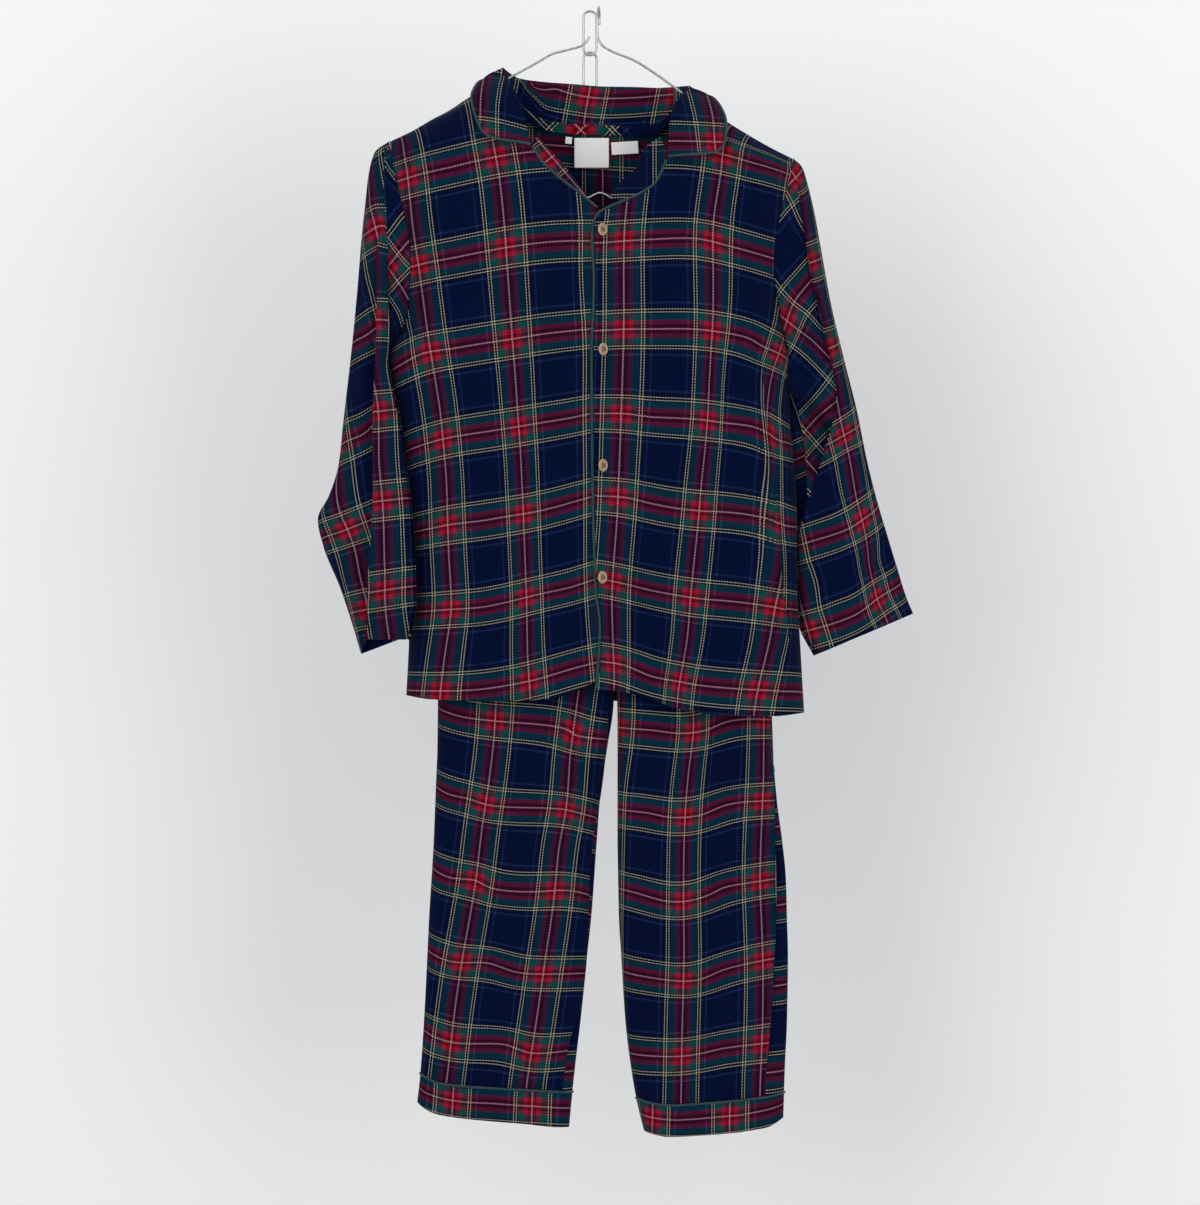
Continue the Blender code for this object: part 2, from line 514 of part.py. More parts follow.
def tube(name, path, radius, mat, sides=8, closed=False):
    """Round cord or wire along a path."""
    path = np.asarray(path, float)
    count = len(path)
    if closed:
        ahead = np.roll(path, -1, axis=0) - np.roll(path, 1, axis=0)
    else:
        ahead = np.gradient(path, axis=0)
    ahead /= np.linalg.norm(ahead, axis=1, keepdims=True)
    side = np.cross(ahead[0], (0.0, 1.0, 0.0))
    if np.linalg.norm(side) < 0.2:
        side = np.cross(ahead[0], (1.0, 0.0, 0.0))
    points = []
    for i in range(count):
        side = side - ahead[i] * np.dot(side, ahead[i])
        side /= np.linalg.norm(side)
        other = np.cross(ahead[i], side)
        for s in range(sides):
            angle = 2 * np.pi * s / sides
            points.append(path[i] + radius * (np.cos(angle) * side + np.sin(angle) * other))
    faces = []
    spans = count if closed else count - 1
    for i in range(spans):
        n = (i + 1) % count
        for s in range(sides):
            t = (s + 1) % sides
            a, b = i * sides + s, i * sides + t
            c, d = n * sides + t, n * sides + s
            faces += [(a, b, c), (a, c, d)]
    if not closed:
        faces.append(tuple(range(sides - 1, -1, -1)))
        faces.append(tuple(range((count - 1) * sides, count * sides)))
    return add_mesh(name, points, faces, mat)


# ---------------------------------------------------------------- sleeves and legs
def sleeve_grid(table, side_table, around, rows, right):
    """Rings from the armhole to the wrist; ring starts at the outer line and runs by the front."""
    stations = np.linspace(0, len(table) - 1, rows)
    indexed = [(float(i), *row) for i, row in enumerate(table)]
    cells = [curve(indexed, stations, column) for column in range(1, 10)]
    angle = 2 * np.pi * np.arange(around) / around
    grid = np.zeros((rows, around, 3))
    for i in range(rows):
        ox, oy, oz, ix, iy, iz, front, back, fold = (cell[i] for cell in cells)
        share = (1 - np.cos(angle)) / 2
        rise = np.sin(angle)
        deep = np.where(rise >= 0, -front, back) * np.abs(rise) ** 0.8
        x = ox + (ix - ox) * share
        y = oy + (iy - oy) * share + deep
        z = oz + (iz - oz) * share
        if right:
            ridge = np.exp(-((share - SLEEVE_RIDGE_AT) / 0.09) ** 2) * (rise > 0)
            y = y - fold * 4.0 * ridge
        else:
            trough = np.exp(-((share - SLEEVE_FOLD_AT) / 0.10) ** 2) * (rise > 0)
            y = y + fold * SLEEVE_FOLD_DEEP * trough
        ring = np.stack([x, y, z], axis=1)
        join = ramp(stations[i] / 4.0)
        z0 = table[0][2] + (table[0][5] - table[0][2]) * share
        x0 = curve(side_table, z0) + ARMHOLE_STEP * (1 if right else -1)
        column = np.where(rise >= 0, 1, 2)
        y0 = np.array([-body_depth(a, b, 1) if c == 1 else body_depth(a, b, 2)
                       for a, b, c in zip(x0, z0, column)])
        hole = np.stack([x0, y0, z0], axis=1)
        first = np.array([ox - table[0][0], 0.0, oz - table[0][2]])
        inner = np.array([ix - table[0][3], iy, iz - table[0][5]])
        moved = hole + first * (1 - share[:, None]) + inner * share[:, None]
        grid[i] = moved * (1 - join) + ring * join
    return grid


def leg_depth(table, x, z, column, outer_sign):
    """Depth of a leg's front (column 3) or back (column 4), open inward above the crotch."""
    deep = curve(table, z, column)
    outer = curve(table, z, 1)
    inner = curve(table, z, 2)
    gape = ramp((z - CROTCH_Z) / 40.0 + 0.5)
    turn_outer = turn_in(outer_sign * (outer - x) / LEG_ROUND)
    turn_inner = gape + (1 - gape) * turn_in(outer_sign * (x - inner) / LEG_ROUND)
    if column == 3:
        deep = deep + folds(LEG_FOLDS[outer_sign], x, z)
    return deep * turn_outer * turn_inner


def leg_across(table, z, sign, half):
    """Across a leg from its inner seam to the outer fold, close together where it turns."""
    outer = float(curve(table, z, 1))
    inner = float(curve(table, z, 2))
    near = [0.0, 0.6, 3.0, 8.0]
    rest = half - 2 * len(near)
    reach = abs(outer - inner)
    steps = near + list(np.linspace(LEG_ROUND, reach - LEG_ROUND, rest))
    steps += [reach - step for step in reversed(near)]
    return [inner + sign * step for step in steps]


def leg_grid(table, half, rows, sign, top_of, low_of, closed):
    """Grid round a leg: front from inner seam to outer fold, back from the fold to the seam.

    top_of and low_of give the height of the first and the last row at a place across the leg.
    """
    grid = []
    for part in np.linspace(0.0, 1.0, rows):
        ring = []
        for column, side in ((3, -1.0), (4, 1.0)):
            xs = leg_across(table, CROTCH_Z, sign, half)
            for _ in range(6):
                zs = [float(top_of(x)) * (1 - part) + float(low_of(x)) * part for x in xs]
                xs = [leg_across(table, z, sign, half)[k] for k, z in enumerate(zs)]
            points = [(x, side * (float(leg_depth(table, x, z, column, sign)) + LEG_GAP), z)
                      for x, z in zip(xs, zs)]
            if side > 0:
                points = points[-2::-1]
                points = points[:-1] if closed else points
            ring += points
        grid.append(ring)
    return np.array(grid)


# ---------------------------------------------------------------- collar
def collar_lines(count):
    """Seam, roll and leaf edge read smoothly round the neck."""
    station = np.linspace(0, len(COLLAR) - 1, count)
    lines = []
    for part in range(3):
        axes = []
        for axis in range(3):
            rows = [(float(i), row[part][axis]) for i, row in enumerate(COLLAR)]
            axes.append(curve(rows, station))
        lines.append(np.stack(axes, axis=1))
    return lines


def over_front(points, lift):
    """Bring collar points that hang in front of or behind the body just clear of it."""
    moved = points.copy()
    for k, (x, y, z) in enumerate(points):
        if y < -2.0:
            moved[k, 1] = min(y, float(front_y(x, z)) - lift)
        elif y > 2.0:
            moved[k, 1] = max(y, float(back_y(x, z)) + lift)
    return moved


def collar_grid(count):
    """Stand up from the neck seam, over the roll, and down the leaf to its edge."""
    seam, roll, edge = collar_lines(count)
    for k in range(count):
        if seam[k, 1] < -2.0:
            seam[k, 1] = float(front_y(seam[k, 0], seam[k, 2])) + 0.6
    roll = np.where(roll[:, 1:2] < -2.0, over_front(roll, 5.0), roll)
    out = np.stack([(roll[:, 0] - NECK_CENTRE[0]) / NECK_WIDE ** 2,
                    (roll[:, 1] - NECK_CENTRE[1]) / NECK_DEEP ** 2, np.zeros(count)], axis=1)
    out /= np.linalg.norm(out, axis=1, keepdims=True)
    rise = roll - seam
    rise /= np.linalg.norm(rise, axis=1, keepdims=True)
    inward = np.sign(NECK_CENTRE[0] - seam[:, :1]) * (1.0, 0.0, 0.0)
    seam = np.where(seam[:, 1:2] < -25.0, seam + inward * 2.9, seam - out * 2.6 + rise * 1.2)
    columns = [seam, (seam + roll) / 2 - out * 0.4, roll - rise * 2.4 - out * 0.4,
               roll + out * 1.4 + rise * 0.4, roll + out * 4.2 - rise * 1.6]
    start = columns[-1]
    for share, bulge in ((0.33, 2.2), (0.66, 2.0), (1.0, 0.0)):
        columns.append(over_front(start + (edge - start) * share + out * bulge, 3.6))
    return np.stack(columns, axis=1)


def smooth_path(points, per_span):
    """More points along a path, read smoothly."""
    at = np.linspace(0, len(points) - 1, (len(points) - 1) * per_span + 1)
    axes = []
    for axis in range(3):
        rows = [(float(i), p[axis]) for i, p in enumerate(points)]
        axes.append(curve(rows, at))
    return np.stack(axes, axis=1)


def link_path(x, y, z_top, z_low, half, per_end=5):
    """Long oval chain link, upright."""
    path = []
    for i in range(per_end + 1):
        a = np.pi * i / per_end
        path.append((x + half * np.cos(a), y, z_top - half + half * np.sin(a)))
    for i in range(per_end + 1):
        a = np.pi + np.pi * i / per_end
        path.append((x + half * np.cos(a), y, z_low + half + half * np.sin(a)))
    return path


# ---------------------------------------------------------------- trims and small pieces
# Facing rows: edge x, z and inner x, z, and how far the inner line lies behind the front.
FACING_LEFT = [(-65.0, -136.0, -60.0, -128.0, 10.0), (-57.0, -149.5, -45.0, -143.0, 12.0),
               (-42.0, -166.5, -31.0, -159.0, 12.0), (-27.0, -178.5, -20.0, -174.0, 10.0),
               (-16.5, -187.0, -12.0, -183.0, 8.0)]
FACING_RIGHT = [(64.0, -146.0, 57.0, -127.0, 16.0), (60.0, -158.5, 40.0, -141.0, 19.0),
                (52.0, -173.5, 35.0, -156.0, 19.0), (41.0, -182.0, 22.0, -168.0, 17.0),
                (22.0, -192.0, 9.0, -184.0, 11.0)]


def facing_grid(rows, fineness):
    """Strip of facing that lies inside the open neck, from the edge back into the jacket."""
    station = np.linspace(0, len(rows) - 1, fineness)
    table = [(float(i), *row) for i, row in enumerate(rows)]
    ex, ez, ix, iz, behind = (curve(table, station, c) for c in range(1, 6))
    grid = []
    for k in range(fineness):
        start = np.array((ex[k], float(front_y(ex[k], ez[k])) + WALL + 0.7, ez[k]))
        end = np.array((ix[k], float(front_y(ex[k], ez[k])) + behind[k], iz[k]))
        mid = (start + end) / 2 + np.array((0.0, -1.5, 0.0))
        grid.append((start, mid, end))
    return np.array(grid)


def beside(points, offset):
    """Points moved off an edge, square to it in the front plane."""
    points = np.asarray(points, float)
    ahead = np.gradient(points, axis=0)
    square = np.stack([ahead[:, 2], np.zeros(len(points)), -ahead[:, 0]], axis=1)
    square /= np.linalg.norm(square, axis=1, keepdims=True)
    return points + square * offset + (0.0, WALL / 2, 0.0)


# How far out and how high each ring of a button's section lies, of its radius and thickness.
#                 out   high
BUTTON_SECTION = [(0.62, 0.35), (0.8, 0.5), (0.94, 0.42), (1.0, 0.0), (0.94, -0.5)]


def button(name, x, z):
    """Turned button with a hollow face, lying on the lap and turned a little with it."""
    turn = np.radians(BUTTON_TURN)
    radius = BUTTON_DIAMETER / 2
    y = float(right_front_y(x, z)) - 0.5 - BUTTON_THICK / 2 - radius * np.sin(turn) * 0.95
    ring = 14
    points = [(0.0, -0.35 * BUTTON_THICK, 0.0)]
    for out, high in BUTTON_SECTION:
        for s in range(ring):
            a = 2 * np.pi * s / ring
            points.append((radius * out * np.cos(a), -high * BUTTON_THICK,
                           radius * out * np.sin(a)))
    points.append((0.0, 0.5 * BUTTON_THICK, 0.0))
    faces = [(0, 1 + (s + 1) % ring, 1 + s) for s in range(ring)]
    for k in range(len(BUTTON_SECTION) - 1):
        for s in range(ring):
            a, b = 1 + k * ring + s, 1 + k * ring + (s + 1) % ring
            faces += [(a, b, b + ring), (a, b + ring, a + ring)]
    end = len(points) - 1
    base = 1 + (len(BUTTON_SECTION) - 1) * ring
    faces += [(end, base + s, base + (s + 1) % ring) for s in range(ring)]
    turned = [(x + p[0] * np.cos(turn) - p[1] * np.sin(turn),
               y + p[0] * np.sin(turn) + p[1] * np.cos(turn), z + p[2]) for p in points]
    add_mesh(name, turned, faces, BUTTON)


def label(name, x0, x1, z0, z1, tilt, ahead):
    """Thin blank label hanging inside the back neck."""
    y = float(back_y((x0 + x1) / 2, z0)) - WALL - ahead
    cx, cz = (x0 + x1) / 2, (z0 + z1) / 2
    points = []
    for dy in (-0.3, 0.3):
        for px, pz in ((x0, z0), (x1, z0), (x1, z1), (x0, z1)):
            dx, dz = px - cx, pz - cz
            points.append((cx + dx * np.cos(tilt) - dz * np.sin(tilt), y + dy,
                           cz + dx * np.sin(tilt) + dz * np.cos(tilt)))
    faces = [(0, 1, 2, 3), (7, 6, 5, 4), (0, 4, 5, 1), (1, 5, 6, 2), (2, 6, 7, 3), (3, 7, 4, 0)]
    add_mesh(name, points, faces, LABEL)


def leg_nodes(name, table, cuff, sign):
    """One leg of the trousers, its turned-up cuff and the piping between them."""
    def waist_seam(x):
        return WAIST_LOW - SEAM

    def cuff_seam(x):
        return curve(cuff, x, 1)

    def cuff_bottom(x):
        return curve(cuff, x, 2)

    leg = leg_grid(table, 12, 14, sign, waist_seam, cuff_seam, False)
    leg[-1, :, 2] += 0.2
    sheet(name, leg, CHECK_TROUSERS)
    band = leg_grid(table, 12, 3, sign, cuff_seam, cuff_bottom, True)
    ring = band[0].copy()
    band[0, :, 2] -= 0.2
    sheet(name.replace("leg", "cuff"), band, CHECK_TROUSERS, wrap=True)
    out = ring - ring.mean(axis=0)
    out[:, 2] = 0.0
    ahead = np.roll(ring, -1, axis=0) - np.roll(ring, 1, axis=0)
    normal = np.stack([-ahead[:, 1], ahead[:, 0], np.zeros(len(ring))], axis=1)
    normal /= np.linalg.norm(normal, axis=1, keepdims=True)
    facing = np.sign(np.sum(normal * out * (1, 8, 1), axis=1))[:, None]
    tube(name.replace("leg", "piping_cuff"), ring + normal * facing * (PIPING_RADIUS + 0.4),
         PIPING_RADIUS, PIPING, sides=6, closed=True)


# ---------------------------------------------------------------- build
for old in list(bpy.data.objects):
    bpy.data.objects.remove(old, do_unlink=True)

CHECK = material("check_flannel", (0.02, 0.03, 0.09), 0.85)
CHECK_SLEEVE = material("check_flannel_sleeves", (0.025, 0.03, 0.085), 0.85)
CHECK_TROUSERS = material("check_flannel_trousers", (0.02, 0.03, 0.08), 0.85)
COLLAR_CLOTH = material("check_flannel_collar", (0.06, 0.02, 0.06), 0.85)
BIAS = material("bias_cut_check", (0.05, 0.04, 0.06), 0.85)
PIPING = material("green_piping", (0.01, 0.08, 0.08), 0.7)
LABEL = material("white_label", (0.8, 0.8, 0.78), 0.6)
BUTTON = material("pale_wood_button", (0.62, 0.4, 0.26), 0.45)
STEEL = material("bright_wire", (0.6, 0.6, 0.6), 0.3, 1.0)

# jacket panels
front_left = panel(left_front_at, top_left, hem_left, front_y,
                   across_at(FLAT_LEFT, EDGE_LEFT_X, LEFT_COLUMNS), 15)
sheet("front_left", front_left, CHECK, seam_plane=True, toward="plane")
front_right = panel(right_front_at, top_right, hem_right, right_front_y,
                    across_at(FLAT_RIGHT, EDGE_RIGHT[0][1], RIGHT_COLUMNS), 15)
sheet("front_right", front_right, CHECK, seam_plane=True, toward="plane")
back = panel(back_at, top_back, hem_back, back_y, back_cells(), 14)
sheet("back", back, CHECK, seam_plane=True, toward="plane")

# sleeves
sheet("sleeve_left", sleeve_grid(SLEEVE_LEFT, SIDE_LEFT, 22, 16, False), CHECK_SLEEVE, wrap=True)
sheet("sleeve_right", sleeve_grid(SLEEVE_RIGHT, SIDE_RIGHT, 20, 15, True), CHECK_SLEEVE,
      wrap=True)

# collar, neck tape and the facings that show in the neck
collar = collar_grid(33)
sheet("collar", collar, COLLAR_CLOTH, wall=1.3)
tape = []
for rise in (4.5, 0.0, -5.5):
    line = collar[11:22, 0] * (0.985, 1.0, 1.0) + (0.0, -1.7, rise)
    tape.append(line)
sheet("neck_tape", np.array(tape), BIAS, wall=0.8, toward="back")

sheet("facing_left", facing_grid(FACING_LEFT, 9), BIAS, wall=0.8, toward="back")
sheet("facing_right", facing_grid(FACING_RIGHT, 9), CHECK, wall=0.8, toward="back")

# piping along the neck and front edges and round the collar leaf
reach = PIPING_RADIUS + SEAM + 0.25
notch_left = len(EDGE_STEPS) + LEFT_COLUMNS.index(-67.6)
notch_right = len(EDGE_STEPS) + RIGHT_COLUMNS.index(65.5)
neck_edge = list(front_right[0, notch_right:])
neck_edge[0] = neck_edge[0] * 0.75 + neck_edge[1] * 0.25
left_edge = front_left[0, notch_left:-1].copy()
left_edge[0] = left_edge[0] * 0.85 + left_edge[1] * 0.15
tube("piping_front_right", beside(neck_edge + list(front_right[1:, -1]), reach),
     PIPING_RADIUS, PIPING, sides=6)
tube("piping_front_left", beside(left_edge, -reach), PIPING_RADIUS, PIPING,
     sides=6)
collar_edge = collar[:, -1]
collar_before = collar[:, -2]
away = collar_edge - collar_before
away /= np.linalg.norm(away, axis=1, keepdims=True)
tube("piping_collar", collar_edge + away * (PIPING_RADIUS + 1.1), PIPING_RADIUS, PIPING, sides=6)

# buttons
for index, (x, z) in enumerate(BUTTONS):
    button(f"button_{index + 1}", x, z)

# blank labels inside the back of the neck
label("label_main", -24.5, 8.5, -154.0, -125.5, 0.0, 5.4)
label("label_care", 11.0, 36.5, -141.0, -129.0, 0.06, 5.4)
label("label_loop", -33.0, -26.8, -131.0, -124.5, -0.1, 5.4)

# trousers
leg_nodes("leg_left", LEG_LEFT, CUFF_LEFT, -1)
leg_nodes("leg_right", LEG_RIGHT, CUFF_RIGHT, 1)

angle = 2 * np.pi * np.arange(26) / 26
gathers = 0.5 * np.sin(angle * 13)
waist = []
for z, half_wide, half_deep in WAISTBAND:
    side = -np.sign(np.sin(angle)) * np.abs(np.sin(angle)) ** 0.5
    waist.append(np.stack([WAIST_MIDDLE + half_wide * np.cos(angle),
                           (half_deep + gathers) * side, np.full(26, z)], axis=1))
sheet("waistband", np.array(waist), CHECK_TROUSERS, wrap=True)

# hanger, chain and trouser hanger
tube("hanger_wire", smooth_path(HANGER_PATH, 2), WIRE_RADIUS, STEEL, sides=6)
for name, y, z_top, z_low in CHAIN:
    tube(name, link_path(CHAIN_X, y, z_top, z_low, LINK_HALF), LINK_RADIUS, STEEL, sides=6,
         closed=True)
tube("trouser_hook", smooth_path(TROUSER_HOOK, 2), 1.2, STEEL, sides=8)
tube("trouser_bar", TROUSER_BAR, 2.0, STEEL, sides=8)
for name, x in CLIPS:
    points = [(x - CLIP_HALF, y, z) for y, z in CLIP_PROFILE]
    points += [(x + CLIP_HALF, y, z) for y, z in CLIP_PROFILE]
    faces = [(0, 1, 4, 5), (1, 2, 3, 4), (0, 5, 6, 7)]
    faces += [tuple(reversed([i + 8 for i in face])) for face in faces]
    faces += [(i + 8, (i + 1) % 8 + 8, (i + 1) % 8, i) for i in range(8)]
    add_mesh(name, points, faces, STEEL)
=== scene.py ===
# %% [markdown]
# # A pyjama set on a wire hanger
# The set is a button jacket with a piped collar over straight trousers, both cut from a brushed
# cotton flannel woven in a tartan check.
#
# Its nodes stay where they are; each new piece is paired in a table with the node it stands for, and that
# node is hidden.

# %% Load the frame
import bpy
import numpy as np
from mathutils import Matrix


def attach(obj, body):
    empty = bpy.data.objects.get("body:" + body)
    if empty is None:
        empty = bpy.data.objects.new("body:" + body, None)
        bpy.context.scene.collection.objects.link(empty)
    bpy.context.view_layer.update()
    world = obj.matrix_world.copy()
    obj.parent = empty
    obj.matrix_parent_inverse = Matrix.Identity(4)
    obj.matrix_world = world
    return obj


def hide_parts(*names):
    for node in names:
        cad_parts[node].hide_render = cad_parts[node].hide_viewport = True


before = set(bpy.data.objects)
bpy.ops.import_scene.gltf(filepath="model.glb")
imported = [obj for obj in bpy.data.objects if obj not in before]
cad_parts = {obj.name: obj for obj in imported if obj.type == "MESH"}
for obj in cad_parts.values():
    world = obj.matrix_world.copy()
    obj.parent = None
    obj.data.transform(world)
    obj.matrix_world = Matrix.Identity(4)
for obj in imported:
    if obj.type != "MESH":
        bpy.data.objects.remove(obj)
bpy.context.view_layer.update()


# %% [markdown]
# ## Sizes
# All sizes are in millimetres, as a maker would write them, and turned into metres at the end.
# Brushed flannel for nightwear is about 1 mm thick with its nap.

# %% Named sizes
MM = 0.001
CLOTH = 1.0                # flannel with its nap
SEAM = 0.3                 # space between two pieces at a seam
SETT = 86.0                # one whole repeat of the check
print("cloth:", CLOTH, "mm thick, check repeats every", SETT, "mm")

# %% [markdown]
# ## Reading a table smoothly
# Every edge of the garment is a short table of places. `curve` reads one column of it without
# going past its neighbours, so an edge stays as smooth as a cut piece of cloth.

# %% Curves and ramps
def curve(rows, at, column=1):
    """Smooth reading of one column of a table, never past the values of its neighbours."""
    rows = sorted(rows, key=lambda row: row[0])
    k = np.array([row[0] for row in rows], float)
    v = np.array([row[column] for row in rows], float)
    at = np.clip(np.asarray(at, float), k[0], k[-1])
    step = np.diff(k)
    slope = np.diff(v) / step
    tangent = np.zeros_like(v)
    same = slope[:-1] * slope[1:] > 0
    w1 = 2 * step[1:] + step[:-1]
    w2 = step[1:] + 2 * step[:-1]
    safe0 = np.where(same, slope[:-1], 1.0)
    safe1 = np.where(same, slope[1:], 1.0)
    tangent[1:-1] = np.where(same, (w1 + w2) / (w1 / safe0 + w2 / safe1), 0.0)
    tangent[0] = slope[0]
    tangent[-1] = slope[-1]
    i = np.clip(np.searchsorted(k, at, side="right") - 1, 0, len(k) - 2)
    t = (at - k[i]) / step[i]
    a = (1 + 2 * t) * (1 - t) ** 2
    b = t * (1 - t) ** 2
    c = t * t * (3 - 2 * t)
    d = t * t * (t - 1)
    return a * v[i] + b * step[i] * tangent[i] + c * v[i + 1] + d * step[i] * tangent[i + 1]


def through(rows, at):
    """All columns of a run of rows, read smoothly at places counted in rows."""
    count = len(rows[0])
    counted = [(float(i), *row) for i, row in enumerate(rows)]
    return np.stack([curve(counted, at, column) for column in range(1, count + 1)], axis=-1)


def ramp(t):
    """0 before 0, 1 after 1, smooth between."""
    t = np.clip(t, 0.0, 1.0)
    return t * t * (3 - 2 * t)


def turn_in(t):
    """Quarter round: 0 at a fold, 1 once t reaches 1."""
    t = np.clip(t, 0.0, 1.0)
    return np.sqrt(np.clip(1 - (1 - t) ** 2, 0.0, 1.0))


def side_turn(t, gape):
    """Round turning where the side is closed, a flat lean where it opens into a sleeve."""
    opened = np.clip(3 * gape, 0.0, 1.0)
    flat = 1 - (1 - np.clip(t, 0.0, 1.0)) ** 2
    return gape + (1 - gape) * (opened * flat + (1 - opened) * turn_in(t))

# %% [markdown]
# ## Outline of the jacket
# The tables give the shoulder line, the two sides with their open armholes, how deep the body
# hangs, and the edges of neck and hem.

# %% Shoulders, sides and depth
# Shoulder line of the jacket from left tip to right tip.
#            x       z
SHOULDER = [(-200, -131), (-177, -120), (-160, -110), (-143, -101),
            (-128, -91), (-112, -81), (-98, -72), (-50, -70), (0, -72),
            (50, -78), (86, -86), (102, -98), (118, -110), (132, -119),
            (147, -128), (165, -138), (183, -147)]

# Left edge of the body: armhole down to the underarm, then the side seam down to the hem.
#              z       x      gape (half depth of the open armhole)
SIDE_LEFT = [(-131, -200, 0.5), (-146, -197.5, 12), (-164, -194, 18),
             (-182, -189.5, 22), (-198, -185.5, 24), (-219, -181, 25),
             (-237, -179, 25), (-266, -179.5, 23), (-292, -181.5, 18),
             (-312, -188, 10), (-325, -197.5, 0), (-340, -202, 0),
             (-360, -202, 0), (-393, -195.5, 0), (-444, -189, 0), (-519, -183, 0),
             (-598, -181.5, 0), (-657, -184, 0)]
SIDE_RIGHT = [(-147, 183, 0.5), (-160, 181, 12), (-172, 178, 17),
              (-190, 173, 21), (-207, 169, 23), (-241, 164.5, 25),
              (-259, 164.5, 23), (-281, 168, 18), (-310, 173, 11),
              (-329, 179, 4), (-339, 181, 0), (-384, 180, 0),
              (-414, 182, 0), (-471, 187, 0), (-528, 187.5, 0),
              (-566, 188, 0), (-604, 190, 0), (-674, 194, 0)]

# How deep the body hangs in front of and behind the shoulder line.
#                z     front  back
BODY_DEPTH = [(-60, 30, 24), (-120, 33, 27), (-200, 36, 28),
              (-320, 36, 27), (-480, 34, 25), (-600, 32, 24),
              (-680, 31, 24)]

print("shoulders:", SHOULDER[-1][0] - SHOULDER[0][0], "mm across")

# %% [markdown]
# The fronts and the back end in a curved edge at the neck and another at the hem. The right front
# also has a free edge down the middle, which laps over the left one.

# %% Neck, hem and front edges
# Top edges of the panels between the shoulder seams (neck seam, then the free piped edge).
#             x       z
NECK_LEFT = [(-98, -72), (-94, -82), (-86, -99), (-76, -118), (-67.6, -134.5),
             (-59, -149), (-43.5, -165.5), (-28, -177.5), (-18, -185),
             (-3, -197), (14, -204)]
NECK_RIGHT = [(-4.5, -209.5), (-1, -203), (3, -200), (22.5, -191.4), (41.8, -182),
              (53.5, -173.5), (61.3, -158.5), (65.8, -146), (69, -131), (75, -112),
              (82, -95), (86, -86)]
NECK_BACK = [(-98, -72), (-88, -90), (-76, -103), (-60, -113.5), (-30, -119),
             (0, -120), (35, -121.5), (54, -120), (68, -111), (79, -98),
             (86, -86)]

# Hems, in front and behind.
#             x       z
HEM_LEFT = [(-184, -656.5), (-161, -660), (-100, -662), (-50, -660),
            (-27, -654.5), (-3, -643), (14, -640)]
HEM_RIGHT = [(-3, -651), (4, -651), (34, -656), (72, -668), (115, -675),
             (163, -676), (194, -673)]
HEM_BACK = [(-184, -656.5), (-100, -660), (0, -662), (100, -668), (194, -673)]

# Free front edge of the right front.
#              z       x
EDGE_RIGHT = [(-209.5, -4.5), (-226, -5.7), (-265, -4), (-340, -6.3), (-440, -5.5),
              (-510, -4.2), (-560, -1.9), (-590, 1.5), (-651, -1.5)]
EDGE_LEFT_X = 14.0         # free front edge of the left front, under the lap
print("hem:", HEM_RIGHT[-1][0] - HEM_LEFT[0][0], "mm across")

# %% [markdown]
# ## Folds and creases
# A jacket on a thin hanger falls in long soft folds. Each row is a ridge (above 0) or a trough
# (below 0) that fades at both ends. Their lengths, widths and spacing are uneven on purpose, and
# the back has its own set.

# %% Fold tables
#                x0      z0       x1      z1     wide  high
FRONT_FOLDS = [(128, -262, 154, -335, 15, -3.5),
               (154, -325, 176, -600, 13, -5),
               (-168, -360, -166, -520, 13, -4),
               (-60, -430, -78, -655, 24, 2.5),
               (58, -470, 70, -665, 24, 2.5),
               (-150, -130, -120, -262, 12, 0.9), (-112, -100, -96, -300, 15, -0.8),
               (-120, -330, -112, -640, 17, -1.5), (-30, -240, -44, -470, 15, -1),
               (-146, -430, -140, -655, 9, 1.3), (-22, -520, -26, -660, 10, -1.2),
               (40, -230, 30, -440, 14, 1.1), (92, -300, 104, -560, 16, -1.6),
               (128, -430, 134, -670, 12, 1.8), (100, -110, 104, -250, 16, -0.9),
               (30, -500, 26, -650, 9, -1.1), (-186, -345, -120, -372, 6, -1.2),
               (178, -352, 130, -388, 7, -1.3)]
BACK_FOLDS = [(-60, -190, -84, -655, 26, 3.5), (52, -210, 66, -655, 26, 3),
              (-140, -330, -150, -640, 16, -3.5), (138, -350, 150, -650, 16, -3.5),
              (-20, -260, -10, -640, 18, -1.6), (96, -150, 108, -420, 15, 1.4),
              (-104, -140, -112, -380, 16, 1.2), (22, -420, 28, -655, 12, 1.3),
              (-176, -350, -110, -384, 8, -1.5), (172, -360, 116, -396, 8, -1.4)]
LEG_FOLDS = {-1: [(-125, -640, -150, -1035, 17, -3.5),
                  (-60, -620, -72, -1020, 22, 2.5),
                  (4, -700, -34, -1030, 7, -4), (-100, -660, -112, -1030, 9, 1.2),
                  (-30, -680, -46, -980, 8, -1.4), (-30, -690, -33, -760, 4, -2)],
             1: [(104, -640, 102, -1030, 18, -4),
                 (60, -640, 66, -1040, 20, 2.5),
                 (160, -700, 166, -1030, 7, -4), (36, -660, 50, -1000, 9, -1.3),
                 (84, -700, 80, -1040, 8, 1.1), (136, -690, 140, -1000, 9, 1.3)]}
print("folds:", len(FRONT_FOLDS), "in front,", len(BACK_FOLDS), "behind,",
      sum(len(rows) for rows in LEG_FOLDS.values()), "on the legs")
# %% [markdown]
# A fold could be pushed up with a sculpting brush. Written as a row it can be moved or softened
# later: its height follows a bell across it and fades to nothing at both ends.

